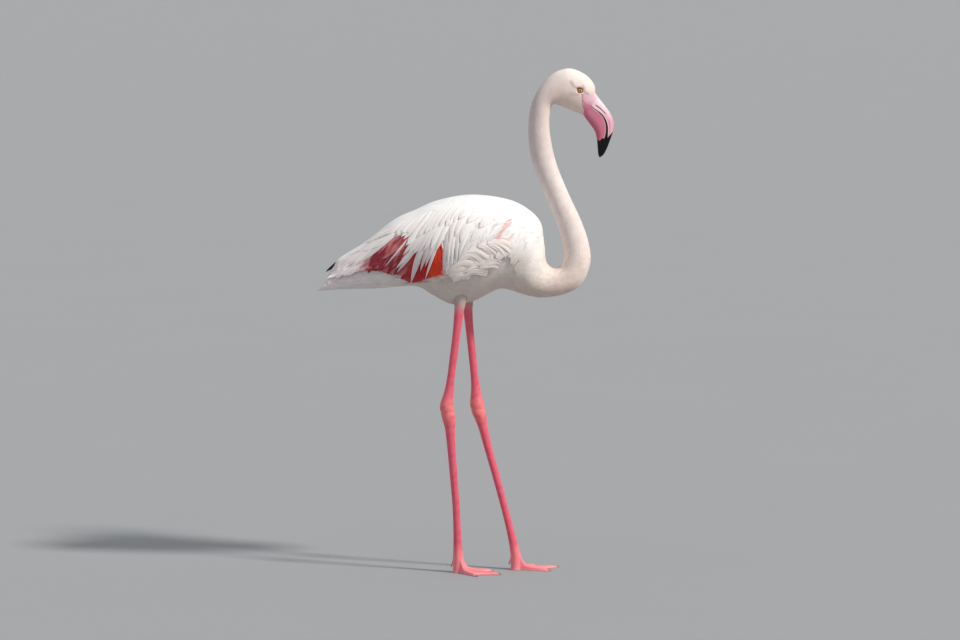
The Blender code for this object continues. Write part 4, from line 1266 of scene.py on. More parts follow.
def makeMandible(half):
    # each mandible is a vault over the line where the bill shuts: across, the width times a
    # root of sin, up, the height times cos, and a flat floor where it shuts
    upper = half == "upper"
    hidden, shown = billForm["rings"]
    shares = np.concatenate([
        np.linspace(-billForm["tuckedIn"], 0.04, hidden, endpoint=False), np.linspace(0.04, 1, shown),
    ])
    table = billForm["sections"]
    row = smoothRows(table, shares) + np.minimum(shares, 0)[:, None] * 9 * (table[1] - table[0])
    outer, shut = (row[:, 0:2] if upper else row[:, 4:6]), row[:, 2:4]
    wide = (row[:, 6] if upper else row[:, 7]) * (1 + 2.2 * np.minimum(shares, 0))
    reach = outer - shut
    high = np.linalg.norm(reach, axis=1)
    apart = np.minimum(billForm["shutGap"], 0.1 * high)
    shut = shut + reach / high[:, None] * apart[:, None]
    arc = np.linspace(-np.pi / 2, np.pi / 2, billForm["roofSides"])
    floor = np.linspace(0.94, -0.94, billForm["floorSides"])
    across = np.concatenate([np.sign(np.sin(arc)) * np.abs(np.sin(arc)) ** billForm["squareness"][half], floor])
    up = np.concatenate([np.abs(np.cos(arc)) ** billForm["roofPower"], np.zeros(len(floor))])
    sides = len(across)
    along, s = np.repeat(shares, sides), np.repeat(np.arange(len(shares)), sides)
    level, fromEdge = np.tile(up, len(shares)), np.tile(up, len(shares)) * high[s]
    onFloor = np.tile(np.arange(sides) >= len(arc), len(shares))
    flat = shut[s] + reach[s] * (level * (1 - apart[s] / high[s]))[:, None]
    lip = 0.00035 * bumpAt(fromEdge, 0.0016 if upper else 0.0020, 0.0010)
    lip = lip * ease(along, 0.04, 0.12) * (1 - ease(along, 0.8, 0.95))
    across = np.tile(across, len(shares))
    points = origin + np.stack([flat[:, 0], wide[s] * across + np.sign(across) * lip, flat[:, 1]], axis=1)
    core = (outer[s] + shut[s]) / 2
    outward = unit(points - origin - np.column_stack([core[:, 0], np.zeros(len(s)), core[:, 1]]))
    line = np.interp(along, billForm["lineAt"], billForm["line"][half]) * 1e-3
    tipStart = billForm["blackFrom"][half] + (0.095 * (1 - level) if upper else 0.012 * np.sin(level * 11))
    dark = np.where(onFloor, 0.002, np.maximum(line - fromEdge, (along - tipStart) * billForm["length"]))
    base = faceTint(*sidePlace(points))
    if upper:
        start, stop, low, top = billForm["nostril"]
        go = np.clip((along - start) / (stop - start), 0, 1)
        slit = bumpAt(level, low + (top - low) * go, 0.055) * ease(along, start - 0.01, start + 0.04)
        slit = slit * (1 - ease(along, stop - 0.06, stop + 0.01))
        groove = bumpAt(level, 0.34, 0.07) * ease(along, 0.38, 0.46) * (1 - ease(along, 0.72, 0.9))
        points = points - outward * (0.0013 * slit + 0.0005 * groove)[:, None]
        tint = upperTint(along, level, fromEdge, line, slit, groove)
    else:
        rib = bumpAt(fromEdge, 0.0062, 0.0013) * ease(along, 0.06, 0.2) * (1 - ease(along, 0.55, 0.7))
        points = points - outward * (0.0004 * rib)[:, None]
        tint = lowerTint(along, level, fromEdge, line)
    tint = mix(base, tint, ease(along, 0.0, 0.07))
    rings = points.reshape(len(shares), sides, 3)
    points, faces = closedTube(rings)
    if upper:
        faces = [f[:, ::-1] for f in faces]
    tint, place = withPoles(tint), withPoles(np.column_stack([along, np.zeros(len(s)), dark]))
    mesh = makeMesh(f"mandible_{half}", points, faces, smoothAngle=50.0, tint=colour4(tint), place=place)
    addPiece(f"mandible_{half}", mesh, materials["bill"], [f"bill_{half}"])


def makeClaws(side):
    # a bent horn at the end of each toe and one under the hind toe
    points, quads, fans, claws, start = [], [], [], [], 0
    form = footForm["claw"]
    for toe, degrees in footForm["angles"].items():
        way = toeWay(side, degrees)
        root = ankleFoot(side) + way * (footForm["lengths"][toe] - form["back"]) + [0, 0, form["up"]]
        claws.append(spike(root + origin, way, form["long"], form["radius"], form["droop"]))
    root, hanging = hindToe(side)
    form = footForm["hindClaw"]
    claws.append(spike(root + hanging * form["along"] + origin, hanging, form["long"], form["radius"], 0.0))
    for claw in claws:
        p, (q, f) = closedTube(claw)
        points.append(p)
        quads.append(q + start)
        fans.append(f + start)
        start += len(p)
    mesh = makeMesh(f"claws_{side}", np.vstack(points), [np.vstack(quads), np.vstack(fans)])
    nodes = [f"claw_{name}_{side}" for name in ("inner", "middle", "outer", "hind")]
    addPiece(f"claws_{side}", mesh, materials["claw"], nodes)


for sideName, sideSign in bothSides.items():
    makeEye(sideName, sideSign)
    makeClaws(sideName)
makeMandible("upper")
makeMandible("lower")


# The coat of the head, neck, breast, belly and tail.

headCoat = {
    "from": "billBase", "to": "neckBend", "row": 0.0019, "gap": 0.00165, "length": (0.0056, 0.0096),
    "width": (0.0024, 0.0034), "lift": 0.00002, "curl": -0.0003, "sway": 8.0, "stations": 3, "thick": 0.00014,
    "outline": (0.8, 1.0, 0.3), "seed": 11, "vary": 0.028, "roll": 1.2, "camber": 0.10,
}
neckHighCoat = {
    **headCoat, "from": "neckBend", "to": "neckLow", "row": 0.0030, "gap": 0.00170,
    "length": (0.0110, 0.0135), "width": (0.0032, 0.0036), "curl": -0.0004, "sway": 5.0, "seed": 12, "vary": 0.030,
}
neckLowCoat = {
    **neckHighCoat, "from": "neckLow", "to": "chest", "length": (0.0130, 0.0180), "width": (0.0038, 0.0052),
    "row": 0.0034, "gap": 0.0021, "lift": 0.00005, "sway": 8.0, "seed": 13, "vary": 0.040,
}
bodyCoat = {
    "from": "chest", "to": "tailRoot", "row": 0.0054, "gap": 0.0040, "length": (0.0220, 0.0360),
    "width": (0.0080, 0.0112), "lift": 0.0001, "curl": -0.0006, "sway": 8.0, "stations": 4, "thick": 0.0002,
    "outline": (0.7, 1.0, 0.9, 0.25), "seed": 14, "vary": 0.030, "roll": 2.0,
    "rag": 0.06, "camber": 0.14,
}
tailCoat = {
    "from": "rump", "to": "tailTip", "row": 0.0062, "gap": 0.0062, "length": (0.0480, 0.0340),
    "width": (0.0115, 0.0095), "lift": 0.0002, "curl": 0.0004, "sway": 4.0, "stations": 7, "thick": 0.0003,
    "outline": (0.5, 0.9, 1.0, 0.95, 0.7, 0.1), "section": "broad", "seed": 15, "vary": 0.04, "roll": 4.0,
    "camber": 0.25,
}


def offTheFace(s, angle, point):
    # clear of the bare face and of the ring of lid
    return ~bareFace(point) & (eyeShare(*sidePlace(point)) > eyeForm["coatFrom"])


def everywhere(s, angle, point):
    return np.ones(len(s), bool)


def clearOfWing(s, angle, point):
    # below the wing's lower edge, or in front of it
    return (np.abs(angle) > lowerEdge(s) - 0.10) | (s < shareOf("shoulder") + 0.01)


def tailTint(point, s, angle):
    # pale below, lilac with rose streaks towards the upper side of the tail
    tint = plumageTint(point, s, angle)
    upper = ease(-np.abs(angle), -2.0, -1.2) * ease(s, shareOf("rump"), shareOf("tailMid"))
    streak = ease(mottle(point * [0.35, 1, 1], 0.012, 21), 0.15, 0.7)
    tint = mix(tint, crimsons["lilac"], 0.5 * upper)
    return mix(tint, crimsons["rose"], 0.75 * upper * streak)


for pieceName, pieceLook, pieceAim, pieceKeep, pieceTint, finish, pieceSlot in (
    ("coat_head", headCoat, roundTheEye, offTheFace, plumageTint, "down", "neck_down"),
    ("coat_neck_high", neckHighCoat, bodyAim, everywhere, plumageTint, "down", "neck_down"),
    ("coat_neck_low", neckLowCoat, bodyAim, everywhere, plumageTint, "down", "neck_down"),
    ("coat_body", bodyCoat, bodyAim, clearOfWing, plumageTint, "down", "down"),
    ("coat_tail", tailCoat, bodyAim, clearOfWing, tailTint, "feather", "down"),
):
    coatPiece(pieceName, pieceLook, bodyPoint, pieceAim, pieceKeep, pieceTint, materials[finish])

# The fringe where the coat ends round the top of each bare leg, greyed as painted shadow of the
# belly, greyest at the top.
thighCoat = {
    "top": 0.690, "lowest": (0.648, 0.638), "count": 1500, "length": 0.0150, "width": 0.0042,
    "stations": 4, "thick": 0.00015, "outline": (0.7, 1.0, 0.8, 0.25), "seed": 61, "roll": 4.0,
    "camber": 0.10, "base": paint(188, 175, 167), "tip": paint(202, 158, 154),
}


def makeThighCoat(side, sign):
    # vanes straight down the leg from roots all round it, lower in front than behind
    draw = np.random.default_rng(thighCoat["seed"] + int(sign))
    count, stations = thighCoat["count"], thighCoat["stations"]
    turn = draw.uniform(-np.pi, np.pi, count)
    lowest = np.interp(np.cos(turn), [-1, 1], thighCoat["lowest"])
    high = lowest + (thighCoat["top"] - lowest) * draw.uniform(0, 1, count)
    t = np.linspace(0, 1, stations)[None]
    down = high[:, None] - thighCoat["length"] * draw.uniform(0.7, 1.3, (count, 1)) * t
    size = np.array(legForm["size"])[::-1]
    known = (size[:, 1], size[:, 2])
    depth, breadth = (smoothColumn(down.ravel(), size[:, 0], column).reshape(down.shape) for column in known)
    x, y = (v.reshape(down.shape) for v in legCentre(side, down.ravel()))
    ahead, aside = np.cos(turn)[:, None], np.sin(turn)[:, None]
    lines = origin + np.stack([x + depth * ahead, y + breadth * aside, down], axis=-1)
    normals = unit(np.stack([ahead / depth, aside / breadth, np.zeros_like(depth)], axis=-1))
    heights = -0.0006 * (1 - t) + 0.0012 * t * (1 - t) + 0.0002 * t + 0.0090 * ease(down, 0.643, 0.676)
    # painted shadow of the belly: greyer on the higher roots
    tips = mix(thighCoat["tip"][None], thighCoat["base"], ease(high, 0.645, 0.662))
    tips = tips * draw.uniform(0.96, 1.02, (count, 1))
    ends = (np.clip(tips * 0.98, 0, 1), np.clip(tips, 0, 1))
    widths = thighCoat["width"] * draw.uniform(0.8, 1.2, count)
    roots = np.stack([0.02 + 0.96 * (turn / (2 * np.pi) + 0.5), 0.02 + 0.96 * (high - 0.63) / 0.065], axis=1)
    growVanes(f"coat_thigh_{side}", lines, normals, heights, widths, thighCoat, ends, roots,
              materials["down"])


for sideName, sideSign in bothSides.items():
    makeThighCoat(sideName, sideSign)


# The folded wings.

def aboveHem(point, ahead=0.0):
    # how high each place lies over the coverts' hem, a little further back along it
    hem = wingHem
    return point[:, 2] - origin[2] - np.interp(point[:, 0] - origin[0] - ahead, hem[:, 0], hem[:, 1])


# Which way wing feathers hang on the bird's side, in degrees below straight back, by x.
wingLie = {
    "x": (-0.34, -0.28, -0.226, -0.161, -0.131, -0.09, -0.045, 0.0, 0.08, 0.15),
    "droop": (28, 30, 40, 56, 70, 82, 84, 70, 56, 60),
}


def wingAim(s, angle, point, along, around):
    # back along the body near the spine, and more and more downwards over the side
    droop = np.interp(point[:, 0] - origin[0], wingLie["x"], wingLie["droop"])
    behind = point[:, 0] < origin[0] - 0.03
    droop = np.radians(droop + (12 - droop) * ease(-aboveHem(point), -0.004, 0.004) * behind)
    hang = np.stack([-np.cos(droop), np.zeros(len(s)), -np.sin(droop)], axis=1)
    return mix(along, hang, ease(np.abs(angle), 0.30, 1.35))


# The red band over the coverts' hem: its upper edge (x, z), where it fades in at the rear and
# out in front, and the x of each of its reds.
redBand = {
    "x": (-0.27, -0.23, -0.19, -0.15, -0.11, -0.075, -0.055, -0.045),
    "z": (0.728, 0.746, 0.785, 0.806, 0.802, 0.806, 0.802, 0.72),
    "rear": (-0.262, -0.226), "front": (-0.054, -0.044),
    "tones": (
        (-0.262, "rose"), (-0.228, "wine"), (-0.155, "wine"), (-0.128, "crimson"),
        (-0.092, "crimson"), (-0.078, "flame"), (-0.05, "flame"),
    ),
}


def redShare(point):
    # how red the coverts are at a place on the bird's side
    x, z = sidePlace(point)
    below = ease(np.interp(x, redBand["x"], redBand["z"]) - z, -0.008, 0.010)
    between = ease(x, *redBand["rear"]) * (1 - ease(x, *redBand["front"]))
    return below * between * ease(aboveHem(point), -0.003, 0.002)


def redTint(point):
    # from wine at the back through crimson to flame at the front, with rose streaks behind
    x = point[:, 0] - origin[0]
    at, names = zip(*redBand["tones"])
    tint = toneAlong(x, at, np.array([crimsons[name] for name in names]))
    behind = 1 - ease(x, -0.150, -0.125)
    broad, fine = mottle(point * [1.0, 1, 0.45], 0.014, 22), mottle(point * [1.0, 1, 0.5], 0.011, 23)
    tint = mix(tint, crimsons["faded"], 0.70 * behind * ease(broad, 0.0, 0.8))
    return mix(tint, crimsons["rose"], 0.50 * behind * ease(fine, 0.35, 0.9))


# Soft shades on the side of the wing: a line of x, z, how wide, the tone and its strength.
wingShades = (
    (((0.0960, 0.8310), (0.0786, 0.8035), (0.0632, 0.7888)), 0.0046, crimsons["coral"], 0.62),
    (((0.1061, 0.8000), (0.0917, 0.7896)), 0.0036, crimsons["coral"], 0.42),
    (((-0.1600, 0.8040), (-0.1835, 0.7805), (-0.1522, 0.7723)), 0.0075, paint(224, 138, 138), 0.80),
    (((0.0950, 0.7400), (0.1350, 0.7400), (0.1750, 0.7260)), 0.0260, paint(230, 213, 199), 0.60),
)


def shaded(tint, point):
    # each shade fades out smoothly to both sides of its line
    x, z = sidePlace(point)
    for stroke, wide, tone, strength in wingShades:
        tint = mix(tint, tone, strength * bumpAt(nearStroke(x, z, stroke), 0, wide))
    return tint


def wingTint(point, s, angle):
    # white above, greyer under the hem with the belly's partly painted shade, and red where the
    # band lies
    turned = np.clip(np.abs(angle), 0, 1.0) + 1.3 * ease(-aboveHem(point), -0.002, 0.004)
    return shaded(mix(plumageTint(point, s, turned), redTint(point), redShare(point)), point)


def mantleTint(point, s, angle):
    # white, greying, partly as painted shade, no further down the side than an angle that grows
    # towards the breast
    most = 0.8 + 1.2 * (1 - ease(s, shareOf("withers"), shareOf("backFront")))
    return shaded(plumageTint(point, s, np.minimum(np.abs(angle), most)), point)


# The shell under the wing's feathers: how far below their face it lies, and how thin it may be;
# its tone darkens it as painted shade under the feathers.
wingShell = {"rings": 110, "levels": 36, "below": 0.0050, "thinnest": 0.0012, "offBody": 0.0002, "tone": 0.9}


def wingBed(side, sign):
    # a thin shell from the back's middle to the wing's lower edge, a little off the body
    s = np.linspace(shareOf("shoulder") + 0.004, shareOf("tailEnd"), wingShell["rings"])
    levels = wingShell["levels"]
    low, high = np.maximum(np.radians(coverAt(s)[:, 3]), 0.012), lowerEdge(s) - 0.02
    t = np.linspace(0, 1, levels)
    angle = (low[:, None] + (high - low)[:, None] * t).ravel() * sign
    grid = np.repeat(s, levels)
    point, outer = bodyPoint(grid, angle), coverPoint(grid, angle)
    reach = np.linalg.norm(outer - point, axis=1)
    stand = np.maximum(reach - wingShell["below"], wingShell["thinnest"])[:, None]
    away = unit(outer - point)
    top, under = point + away * stand, point + away * wingShell["offBody"]
    rings = np.concatenate([top.reshape(-1, levels, 3), under.reshape(-1, levels, 3)[:, ::-1]], axis=1)
    tint = wingTint(top, grid, angle).reshape(-1, levels, 3)
    # a little darker than the feathers, as painted shade under them
    tint = np.concatenate([tint, tint[:, ::-1]], axis=1).reshape(-1, 3) * wingShell["tone"]
    points, faces = closedTube(rings)
    if sign < 0:
        faces = [f[:, ::-1] for f in faces]
    tint = withPoles(tint)
    vane = np.tile([0.5, 0.5, 0.0], (len(tint), 1))
    mesh = makeMesh(f"wing_bed_{side}", points, faces, tint=colour4(tint), vane=vane)
    addPiece(f"wing_bed_{side}", mesh, materials["down"], [f"wing_{side}"])


mantleCoat = {
    "from": "breast", "to": "tailMid", "row": 0.0066, "gap": 0.0054, "length": (0.0280, 0.0600),
    "width": (0.0115, 0.0140), "lift": 0.0001, "curl": -0.0005, "sway": 4.0, "stations": 6, "thick": 0.00022,
    "outline": (0.6, 0.95, 1.0, 0.95, 0.75, 0.15), "seed": 16, "vary": 0.015,
    "roll": 1.5, "camber": 0.14,
}
# the coverts' roots are darker, partly painted shade under the feathers above them
coverts = {
    "from": "breast", "to": "tailEnd", "row": 0.0080, "gap": 0.0062, "length": (0.0280, 0.0440),
    "width": (0.0086, 0.0106), "lift": 0.0002, "curl": -0.0003, "sway": 7.0, "stations": 7, "thick": 0.0003,
    "outline": (0.5, 0.85, 1.0, 0.97, 0.84, 0.56, 0.08), "section": "broad", "seed": 17, "vary": 0.10,
    "roll": 5.0, "camber": 0.18, "base": (0.85, 0.78, 0.78), "hemmed": True,
}
# The height of the coverts' hem along the wing: x, z. White feathers of the side cover what
# lies below it.
wingHem = np.array([
    (-0.3000, 0.6850), (-0.2500, 0.7010), (-0.2109, 0.7185), (-0.1904, 0.7109), (-0.1700, 0.7061),
    (-0.1523, 0.7040), (-0.1455, 0.6935), (-0.1401, 0.6870), (-0.1237, 0.6849), (-0.1074, 0.6890),
    (-0.0978, 0.6950), (-0.0815, 0.7026), (-0.0665, 0.7067), (-0.0450, 0.7130), (0.0000, 0.7000),
    (0.2000, 0.6900),
])
# How far down the side the mantle reaches: the angle from the middle of the back.
mantleEnds = {"breast": 1.50, "shoulder": 1.50, "backFront": 1.05, "loin": 0.75, "rump": 0.62, "tailMid": 0.5}


def onMantle(s, angle, point):
    # over the back and the upper side, ending higher at the rear where the long plumes show
    jagged = 0.16 * mottle(point, 0.007, 9) * (1 - ease(s, shareOf("shoulder"), shareOf("backFront")))
    lowest = alongBody(s, mantleEnds) + 0.16 * mottle(point, 0.030, 8) + jagged
    return (np.abs(angle) < lowest) & (s > shareOf("breast") + 0.012)


def onWingSide(s, angle, point):
    # on the wing's side under the mantle, above the hem in front and all of it further back
    x = point[:, 0] - origin[0]
    shows = ((aboveHem(point) > 0) | (x < -0.05)) & (x > -0.296) & (s > shareOf("breast") + 0.015)
    return (np.abs(angle) > 0.60) & (np.abs(angle) < lowerEdge(s) - 0.02) & shows


# The long plumes that fan from the shoulder over the wing, front to rear: root, a place
# half way and tip, each as x, z on the bird's side.
plumeFan = np.array([
    (0.0749, 0.8459, 0.0323, 0.8024, -0.0120, 0.7525),
    (0.0284, 0.8575, -0.0120, 0.8178, -0.0217, 0.7370),
    (-0.0025, 0.8691, -0.0371, 0.8178, -0.0526, 0.7080),
    (-0.0141, 0.8730, -0.0564, 0.8062, -0.0950, 0.6944),
    (-0.0335, 0.8730, -0.0911, 0.7908, -0.1286, 0.6867),
    (-0.0528, 0.8691, -0.1104, 0.7830, -0.1625, 0.7138),
    (-0.0761, 0.8653, -0.1413, 0.7830, -0.1876, 0.7254),
    (-0.0954, 0.8575, -0.1683, 0.7908, -0.2261, 0.7370),
    (-0.1225, 0.8420, -0.1953, 0.7869, -0.2647, 0.7254),
    (-0.1458, 0.8304, -0.2262, 0.7753, -0.2917, 0.7215),
    (-0.1790, 0.8130, -0.2530, 0.7650, -0.3180, 0.7230),
])
# The long plumes one by one: place in the fan, the share of its line where each ends, its
# width in millimetres and how lilac its tip is, a grey lilac that is partly painted shade.
longPlumes = np.array([
    (0.02, 1.00, 13, 0.3), (0.06, 1.00, 14, 0.2), (0.10, 1.00, 13, 0.6), (0.14, 1.00, 13, 0.0),
    (0.17, 0.95, 14, 0.3), (0.20, 1.00, 14, 1.0), (0.235, 0.50, 11, 0.5), (0.265, 0.44, 11, 0.4),
    (0.30, 1.00, 9, 0.5), (0.33, 0.85, 14, 0.6), (0.355, 0.88, 15, 0.9), (0.40, 1.00, 18, 0.7),
    (0.435, 0.66, 13, 0.4), (0.465, 0.66, 12, 0.7), (0.495, 1.00, 11, 0.8), (0.52, 0.95, 10, 0.3),
    (0.55, 0.70, 11, 0.4), (0.58, 0.55, 12, 0.2), (0.605, 1.00, 5, 1.0), (0.63, 0.46, 12, 0.3),
    (0.66, 0.44, 12, 0.1), (0.70, 0.46, 11, 0.4), (0.735, 0.95, 7, 0.6), (0.77, 1.00, 13, 0.7),
    (0.81, 1.00, 14, 0.3), (0.85, 1.00, 14, 0.6), (0.89, 0.97, 14, 0.4), (0.93, 0.95, 14, 0.6),
    (0.97, 0.92, 13, 0.4),
])
# Their layers: how far along the fan's lines each starts and ends, how many plumes and how
# wide; then the places in the fan where the shorter ones must end early, and the share where
# they do, so that the red shows between plumes.
plumeLayers = {
    "long": {"start": 0.08, "height": 0.0010, "seed": 31},
    "middle": {"start": 0.02, "end": 0.72, "count": 20, "width": 0.0175, "height": 0.0020, "seed": 32},
    "short": {"start": -0.04, "end": 0.42, "count": 19, "width": 0.0170, "height": 0.0028, "seed": 33},
}
plumeGaps = (
    (0.0, 0.205, 0.220, 0.272, 0.29, 0.565, 0.58, 0.66, 0.73, 0.75, 1.0),
    (0.9, 0.9, 0.46, 0.44, 0.9, 0.9, 0.40, 0.36, 0.42, 0.9, 0.9),
)
plumeLook = {
    "stations": 16, "thick": 0.0006, "outline": (0.45, 0.75, 0.95, 1.0, 1.0, 1.0, 0.93, 0.78, 0.50, 0.05),
    "section": "broad", "camber": 0.20, "roll": 4.0, "rag": 0.03, "fade": (0.2, 0.95), "sunk": 0.0030,
    "base": paint(253, 249, 245), "tip": paint(251, 245, 241), "lilac": paint(212, 200, 203),
}


def sideLines(x, z, sign):
    # lines given as x, z on the bird's side (vanes, stations) laid on the wing's outer face
    s, angle = placeAt(coverRows, "chest", "tailTip", x.ravel(), z.ravel())
    point, *_, normal = formFrame(coverPoint, s, angle * sign)
    lines, normals = (v.reshape(*x.shape, 3) for v in (point, normal))
    return lines, normals, s.reshape(x.shape), angle.reshape(x.shape) * sign


def plumeLines(name, stations):
    # plumes between the fan's lines: each is a curve through root, half way and tip
    layer = plumeLayers[name]
    draw = np.random.default_rng(layer["seed"])
    if name == "long":
        q, end, wide, lilac = longPlumes.T
        wide = wide * 1e-3
    else:
        count = layer["count"]
        q = (np.arange(count) + 0.5 + draw.uniform(-0.25, 0.25, count)) / count
        end = np.minimum(layer["end"] + draw.uniform(-0.08, 0.0, count), np.interp(q, *plumeGaps))
        wide, lilac = layer["width"] * draw.uniform(0.85, 1.15, count), draw.uniform(0, 0.4, count)
    fan = smoothRows(plumeFan, q)
    start = layer["start"] + draw.uniform(-0.03, 0.03, len(q))
    at = start[:, None] + (end - start)[:, None] * np.linspace(0, 1, stations)[None]
    one, two, three = (1 - at) * (1 - 2 * at), 4 * at * (1 - at), at * (2 * at - 1)
    x = fan[:, 0:1] * one + fan[:, 2:3] * two + fan[:, 4:5] * three
    z = fan[:, 1:2] * one + fan[:, 3:4] * two + fan[:, 5:6] * three
    return x, z, q, wide, lilac


def makePlumes(side, sign):
    # each plume comes up from under the mantle at its root and lies higher towards its tip
    stations = plumeLook["stations"]
    for name, layer in plumeLayers.items():
        x, z, q, widths, lilac = plumeLines(name, stations)
        lines, normals, s, angle = sideLines(x, z, sign)
        draw = np.random.default_rng(layer["seed"] + (5 if sign > 0 else 0))
        t = np.linspace(0, 1, stations)[None]
        over = layer["height"] + 0.0014 * (1 - q)[:, None] + draw.uniform(-0.0003, 0.0006, (len(q), 1))
        heights = -plumeLook["sunk"] * (1 - t) ** 2 + over * t**0.5
        bright = draw.uniform(0.96, 1.0, (len(q), 1))
        # greyer lilac tips: partly the plumes' own tint, partly painted shade between them
        lilac = np.clip(lilac + 0.25 * ease(q, 0.72, 0.95), 0, 1)
        ends = (plumeLook["base"] * bright, mix(plumeLook["tip"] * bright, plumeLook["lilac"], lilac))
        roots = unwrap(s[:, 0], angle[:, 0], "shoulder", "tailTip")
        replaced = [f"wing_plume_{side}"] if name == "long" else []
        look = dict(plumeLook, seed=layer["seed"])
        growVanes(f"plumes_{name}_{side}", lines, normals, heights, widths, look, ends, roots,
                  materials["feather"], replaced)


# The black flight feathers show as a narrow wedge under the last white plume.
primaries = {
    "root": (-0.2400, 0.7600),
    "tips": ((-0.3270, 0.7118), (-0.3200, 0.7180), (-0.3120, 0.7230), (-0.3290, 0.7085)),
    "aside": (0.0030, 0.0042, 0.0054, 0.0018), "width": 0.0100, "stations": 14, "thick": 0.0006, "roll": 3.0,
    "outline": (0.8, 1.0, 1.0, 1.0, 0.9, 0.6, 0.08), "section": "broad", "camber": 0.10, "seed": 41,
}


def makePrimaries(side, sign):
    # straight from one root to each tip, bowed up by a little sine on the way
    tips = np.array(primaries["tips"])
    t = np.linspace(0, 1, primaries["stations"])[None, :, None]
    flat = np.array(primaries["root"]) * (1 - t) + tips[:, None] * t
    flat = flat + np.array([0.0, 0.004]) * np.sin(np.pi * t)
    aside = np.broadcast_to(sign * np.array(primaries["aside"])[:, None], flat.shape[:2])
    lines = origin + np.stack([flat[..., 0], aside, flat[..., 1]], axis=-1)
    normals = np.broadcast_to(np.array([0.0, sign, 0.0]), lines.shape)
    heights = np.zeros(lines.shape[:2])
    black = np.tile(paint(26, 24, 27), (len(tips), 1))
    roots = np.stack([np.linspace(0.2, 0.8, len(tips)), np.full(len(tips), 0.5)], axis=1)
    widths, ends = np.full(len(tips), primaries["width"]), (black, black * 1.3)
    growVanes(f"primaries_{side}", lines, normals, heights, widths, primaries, ends, roots,
              materials["flight"], [f"wing_tip_{side}"])


# Soft locks of the side of the breast, curling over the lower front of the wing: each a line
# of x, z from its root to its tip.
flankLocks = np.array([
    ((0.0110, 0.7050), (-0.0040, 0.7100), (-0.0200, 0.7060), (-0.0350, 0.6940)),
    ((0.0508, 0.7153), (0.0323, 0.7215), (0.0122, 0.7199), (-0.0094, 0.7044)),
    ((0.0045, 0.7199), (-0.0094, 0.7246), (-0.0249, 0.7184), (-0.0419, 0.7028)),
    ((0.0786, 0.7308), (0.0632, 0.7370), (0.0462, 0.7339), (0.0261, 0.7246)),
    ((0.0261, 0.7199), (0.0076, 0.7354), (-0.0140, 0.7354), (-0.0442, 0.7090)),
    ((0.0416, 0.7323), (0.0230, 0.7509), (0.0014, 0.7571), (-0.0256, 0.7331)),
    ((0.0601, 0.7385), (0.0416, 0.7540), (0.0199, 0.7664), (0.0014, 0.7625)),
    ((0.0724, 0.7478), (0.0570, 0.7648), (0.0400, 0.7780), (0.0238, 0.7757)),
    ((0.0941, 0.7493), (0.0786, 0.7741), (0.0601, 0.7826), (0.0446, 0.7826)),
    ((0.1172, 0.7555), (0.0940, 0.7788), (0.0740, 0.7865), (0.0477, 0.7842)),
])
flankLook = {
    "vanes": 22, "spread": 0.0102, "width": 0.0082, "stations": 10, "thick": 0.0003, "section": "broad",
    "outline": (0.4, 0.8, 1.0, 0.95, 0.80, 0.55, 0.15), "camber": 0.16, "roll": 8.0, "seed": 51, "rag": 0.05,
    "sunk": 0.0028, "rise": 0.0012, "ridge": 0.0019, "curl": 0.0009, "closing": 0.45,
    "starts": (-0.05, 0.40), "ends": (0.72, 1.0),
    "lilac": paint(224, 192, 192), "white": paint(254, 243, 236), "base": paint(246, 228, 220),
}


def makeFlank(side, sign):
    # the vanes of a lock lie side by side along its line, closer together at its tip, raised
    # to a ridge in its middle and curling away at the end
    draw = np.random.default_rng(flankLook["seed"] + int(sign))
    count, stations = flankLook["vanes"], flankLook["stations"]
    t = np.linspace(0, 1, stations)[None]
    paths, asides = [], []
    for line in flankLocks:
        begin = draw.uniform(*flankLook["starts"], (count, 1))
        finish = draw.uniform(*flankLook["ends"], (count, 1))
        at = np.clip(begin + (finish - begin) * t, 0, 1)
        path = smoothRows(line, at.ravel()).reshape(count, stations, 2)
        way = unit(np.gradient(path, axis=1))
        aside = np.linspace(-1, 1, count) + draw.uniform(-0.15, 0.15, count)
        shift = (aside[:, None] * flankLook["spread"] * (1 - flankLook["closing"] * t**2))[..., None]
        paths.append(path + np.stack([-way[..., 1], way[..., 0]], axis=-1) * shift)
        asides.append(aside)
    paths, aside = np.concatenate(paths), np.concatenate(asides)
    lines, normals, s, angle = sideLines(paths[..., 0], paths[..., 1], sign)
    crown = (1 - np.clip(np.abs(aside), 0, 1) ** 2)[:, None]
    ridge = flankLook["ridge"] * crown * np.sin(np.pi * np.clip(0.12 + 0.80 * t, 0, 1))
    curl = flankLook["curl"] * draw.uniform(0.0, 1.0, (len(aside), 1)) * t**4
    heights = -flankLook["sunk"] * (1 - t) ** 2 + flankLook["rise"] * t + ridge + curl
    # mauve edges and beige roots: partly pinkish outlines, partly painted shade where locks overlap
    tips = mix(flankLook["white"][None], flankLook["lilac"], 0.7 * ease(np.abs(aside), 0.70, 1.05))
    tips = tips * draw.uniform(0.96, 1.0, (len(aside), 1))
    ends = (np.tile(flankLook["base"], (len(aside), 1)), tips)
    widths = flankLook["width"] * draw.uniform(0.8, 1.2, len(aside))
    roots = unwrap(s[:, 0], angle[:, 0], "chest", "tailTip")
    growVanes(f"flank_{side}", lines, normals, heights, widths, flankLook, ends, roots,
              materials["feather"])


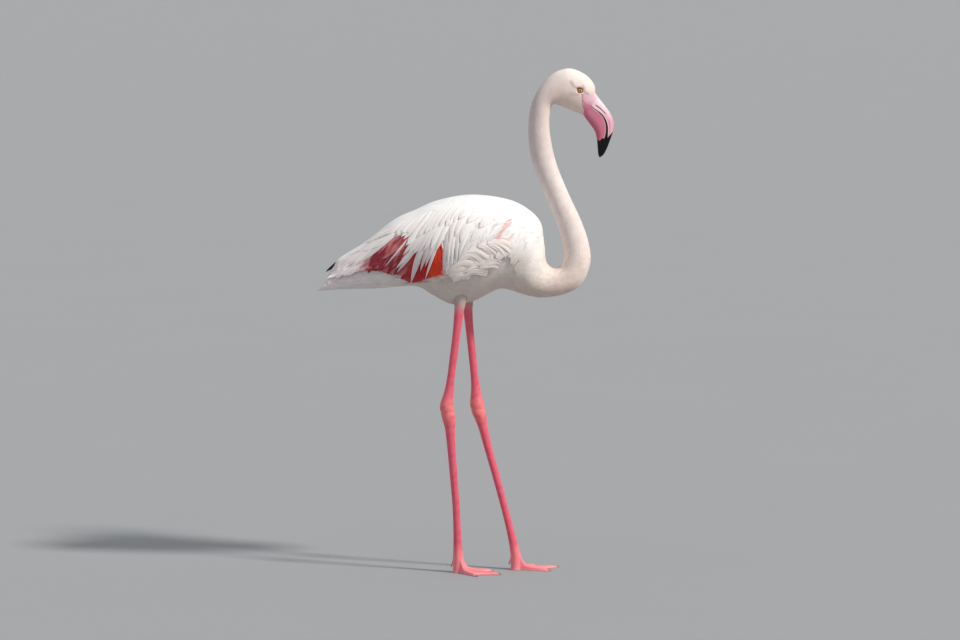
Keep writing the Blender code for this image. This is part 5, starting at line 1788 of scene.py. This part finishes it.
coatPiece("mantle", mantleCoat, coverPoint, wingAim, onMantle, mantleTint, materials["feather"])
coatPiece("coverts", coverts, coverPoint, wingAim, onWingSide, wingTint, materials["feather"])
for sideName, sideSign in bothSides.items():
    wingBed(sideName, sideSign)
    makePlumes(sideName, sideSign)
    makePrimaries(sideName, sideSign)
    makeFlank(sideName, sideSign)


# Floor, light and camera.

studio = {
    "floor": (0.33, 0.34, 0.35), "world": (0.98, 1.0, 1.03), "worldStrength": 0.53,
    "sun": {"from": (0.66, -0.37, 0.65), "wide": 7.0, "strength": 2.90, "tone": (1.0, 0.975, 0.94)},
    "camera": (0.0323, -9.8, 1.55), "pitch": 5.56, "lens": 157.8,
}


def makeFloor():
    material, tree, shader = newMaterial("studioFloor")
    pale, deep = (*studio["floor"], 1), (*[0.97 * c for c in studio["floor"]], 1)
    tone = blendColour(tree, deep, pale, noise(tree, 1.5, 4.0))
    feed(tree, shader, {"Base Color": tone, "Roughness": 0.9})
    below = (0, 0, origin[2] - 0.0002)
    bpy.ops.mesh.primitive_circle_add(vertices=96, radius=160, fill_type="NGON", location=below)
    floor = bpy.context.object
    floor.name = "floor"
    floor.data.materials.append(material)


def makeLights():
    # one soft sun from the front right, and an even sky
    spec = studio["sun"]
    lamp = bpy.data.lights.new("sun", "SUN")
    lamp.energy, lamp.angle, lamp.color = spec["strength"], math.radians(spec["wide"]), spec["tone"]
    made = bpy.data.objects.new("sun", lamp)
    made.location = spec["from"]
    made.rotation_euler = made.location.to_track_quat("Z", "Y").to_euler()
    bpy.context.scene.collection.objects.link(made)
    world = bpy.data.worlds.new("studio")
    bpy.context.scene.world = world
    world.use_nodes = True
    back = world.node_tree.nodes["Background"]
    back.inputs["Color"].default_value = (*studio["world"], 1)
    back.inputs["Strength"].default_value = studio["worldStrength"]


def makeCamera():
    camera = bpy.data.cameras.new("camera")
    camera.lens, camera.sensor_width = studio["lens"], 36.0
    camera.clip_end = 400.0
    made = bpy.data.objects.new("camera", camera)
    made.location = studio["camera"]
    made.rotation_euler = (math.radians(90 - studio["pitch"]), 0, 0)
    bpy.context.scene.collection.objects.link(made)
    bpy.context.scene.camera = made


makeFloor()
makeLights()
makeCamera()
bpy.context.scene.view_settings.view_transform = "Standard"
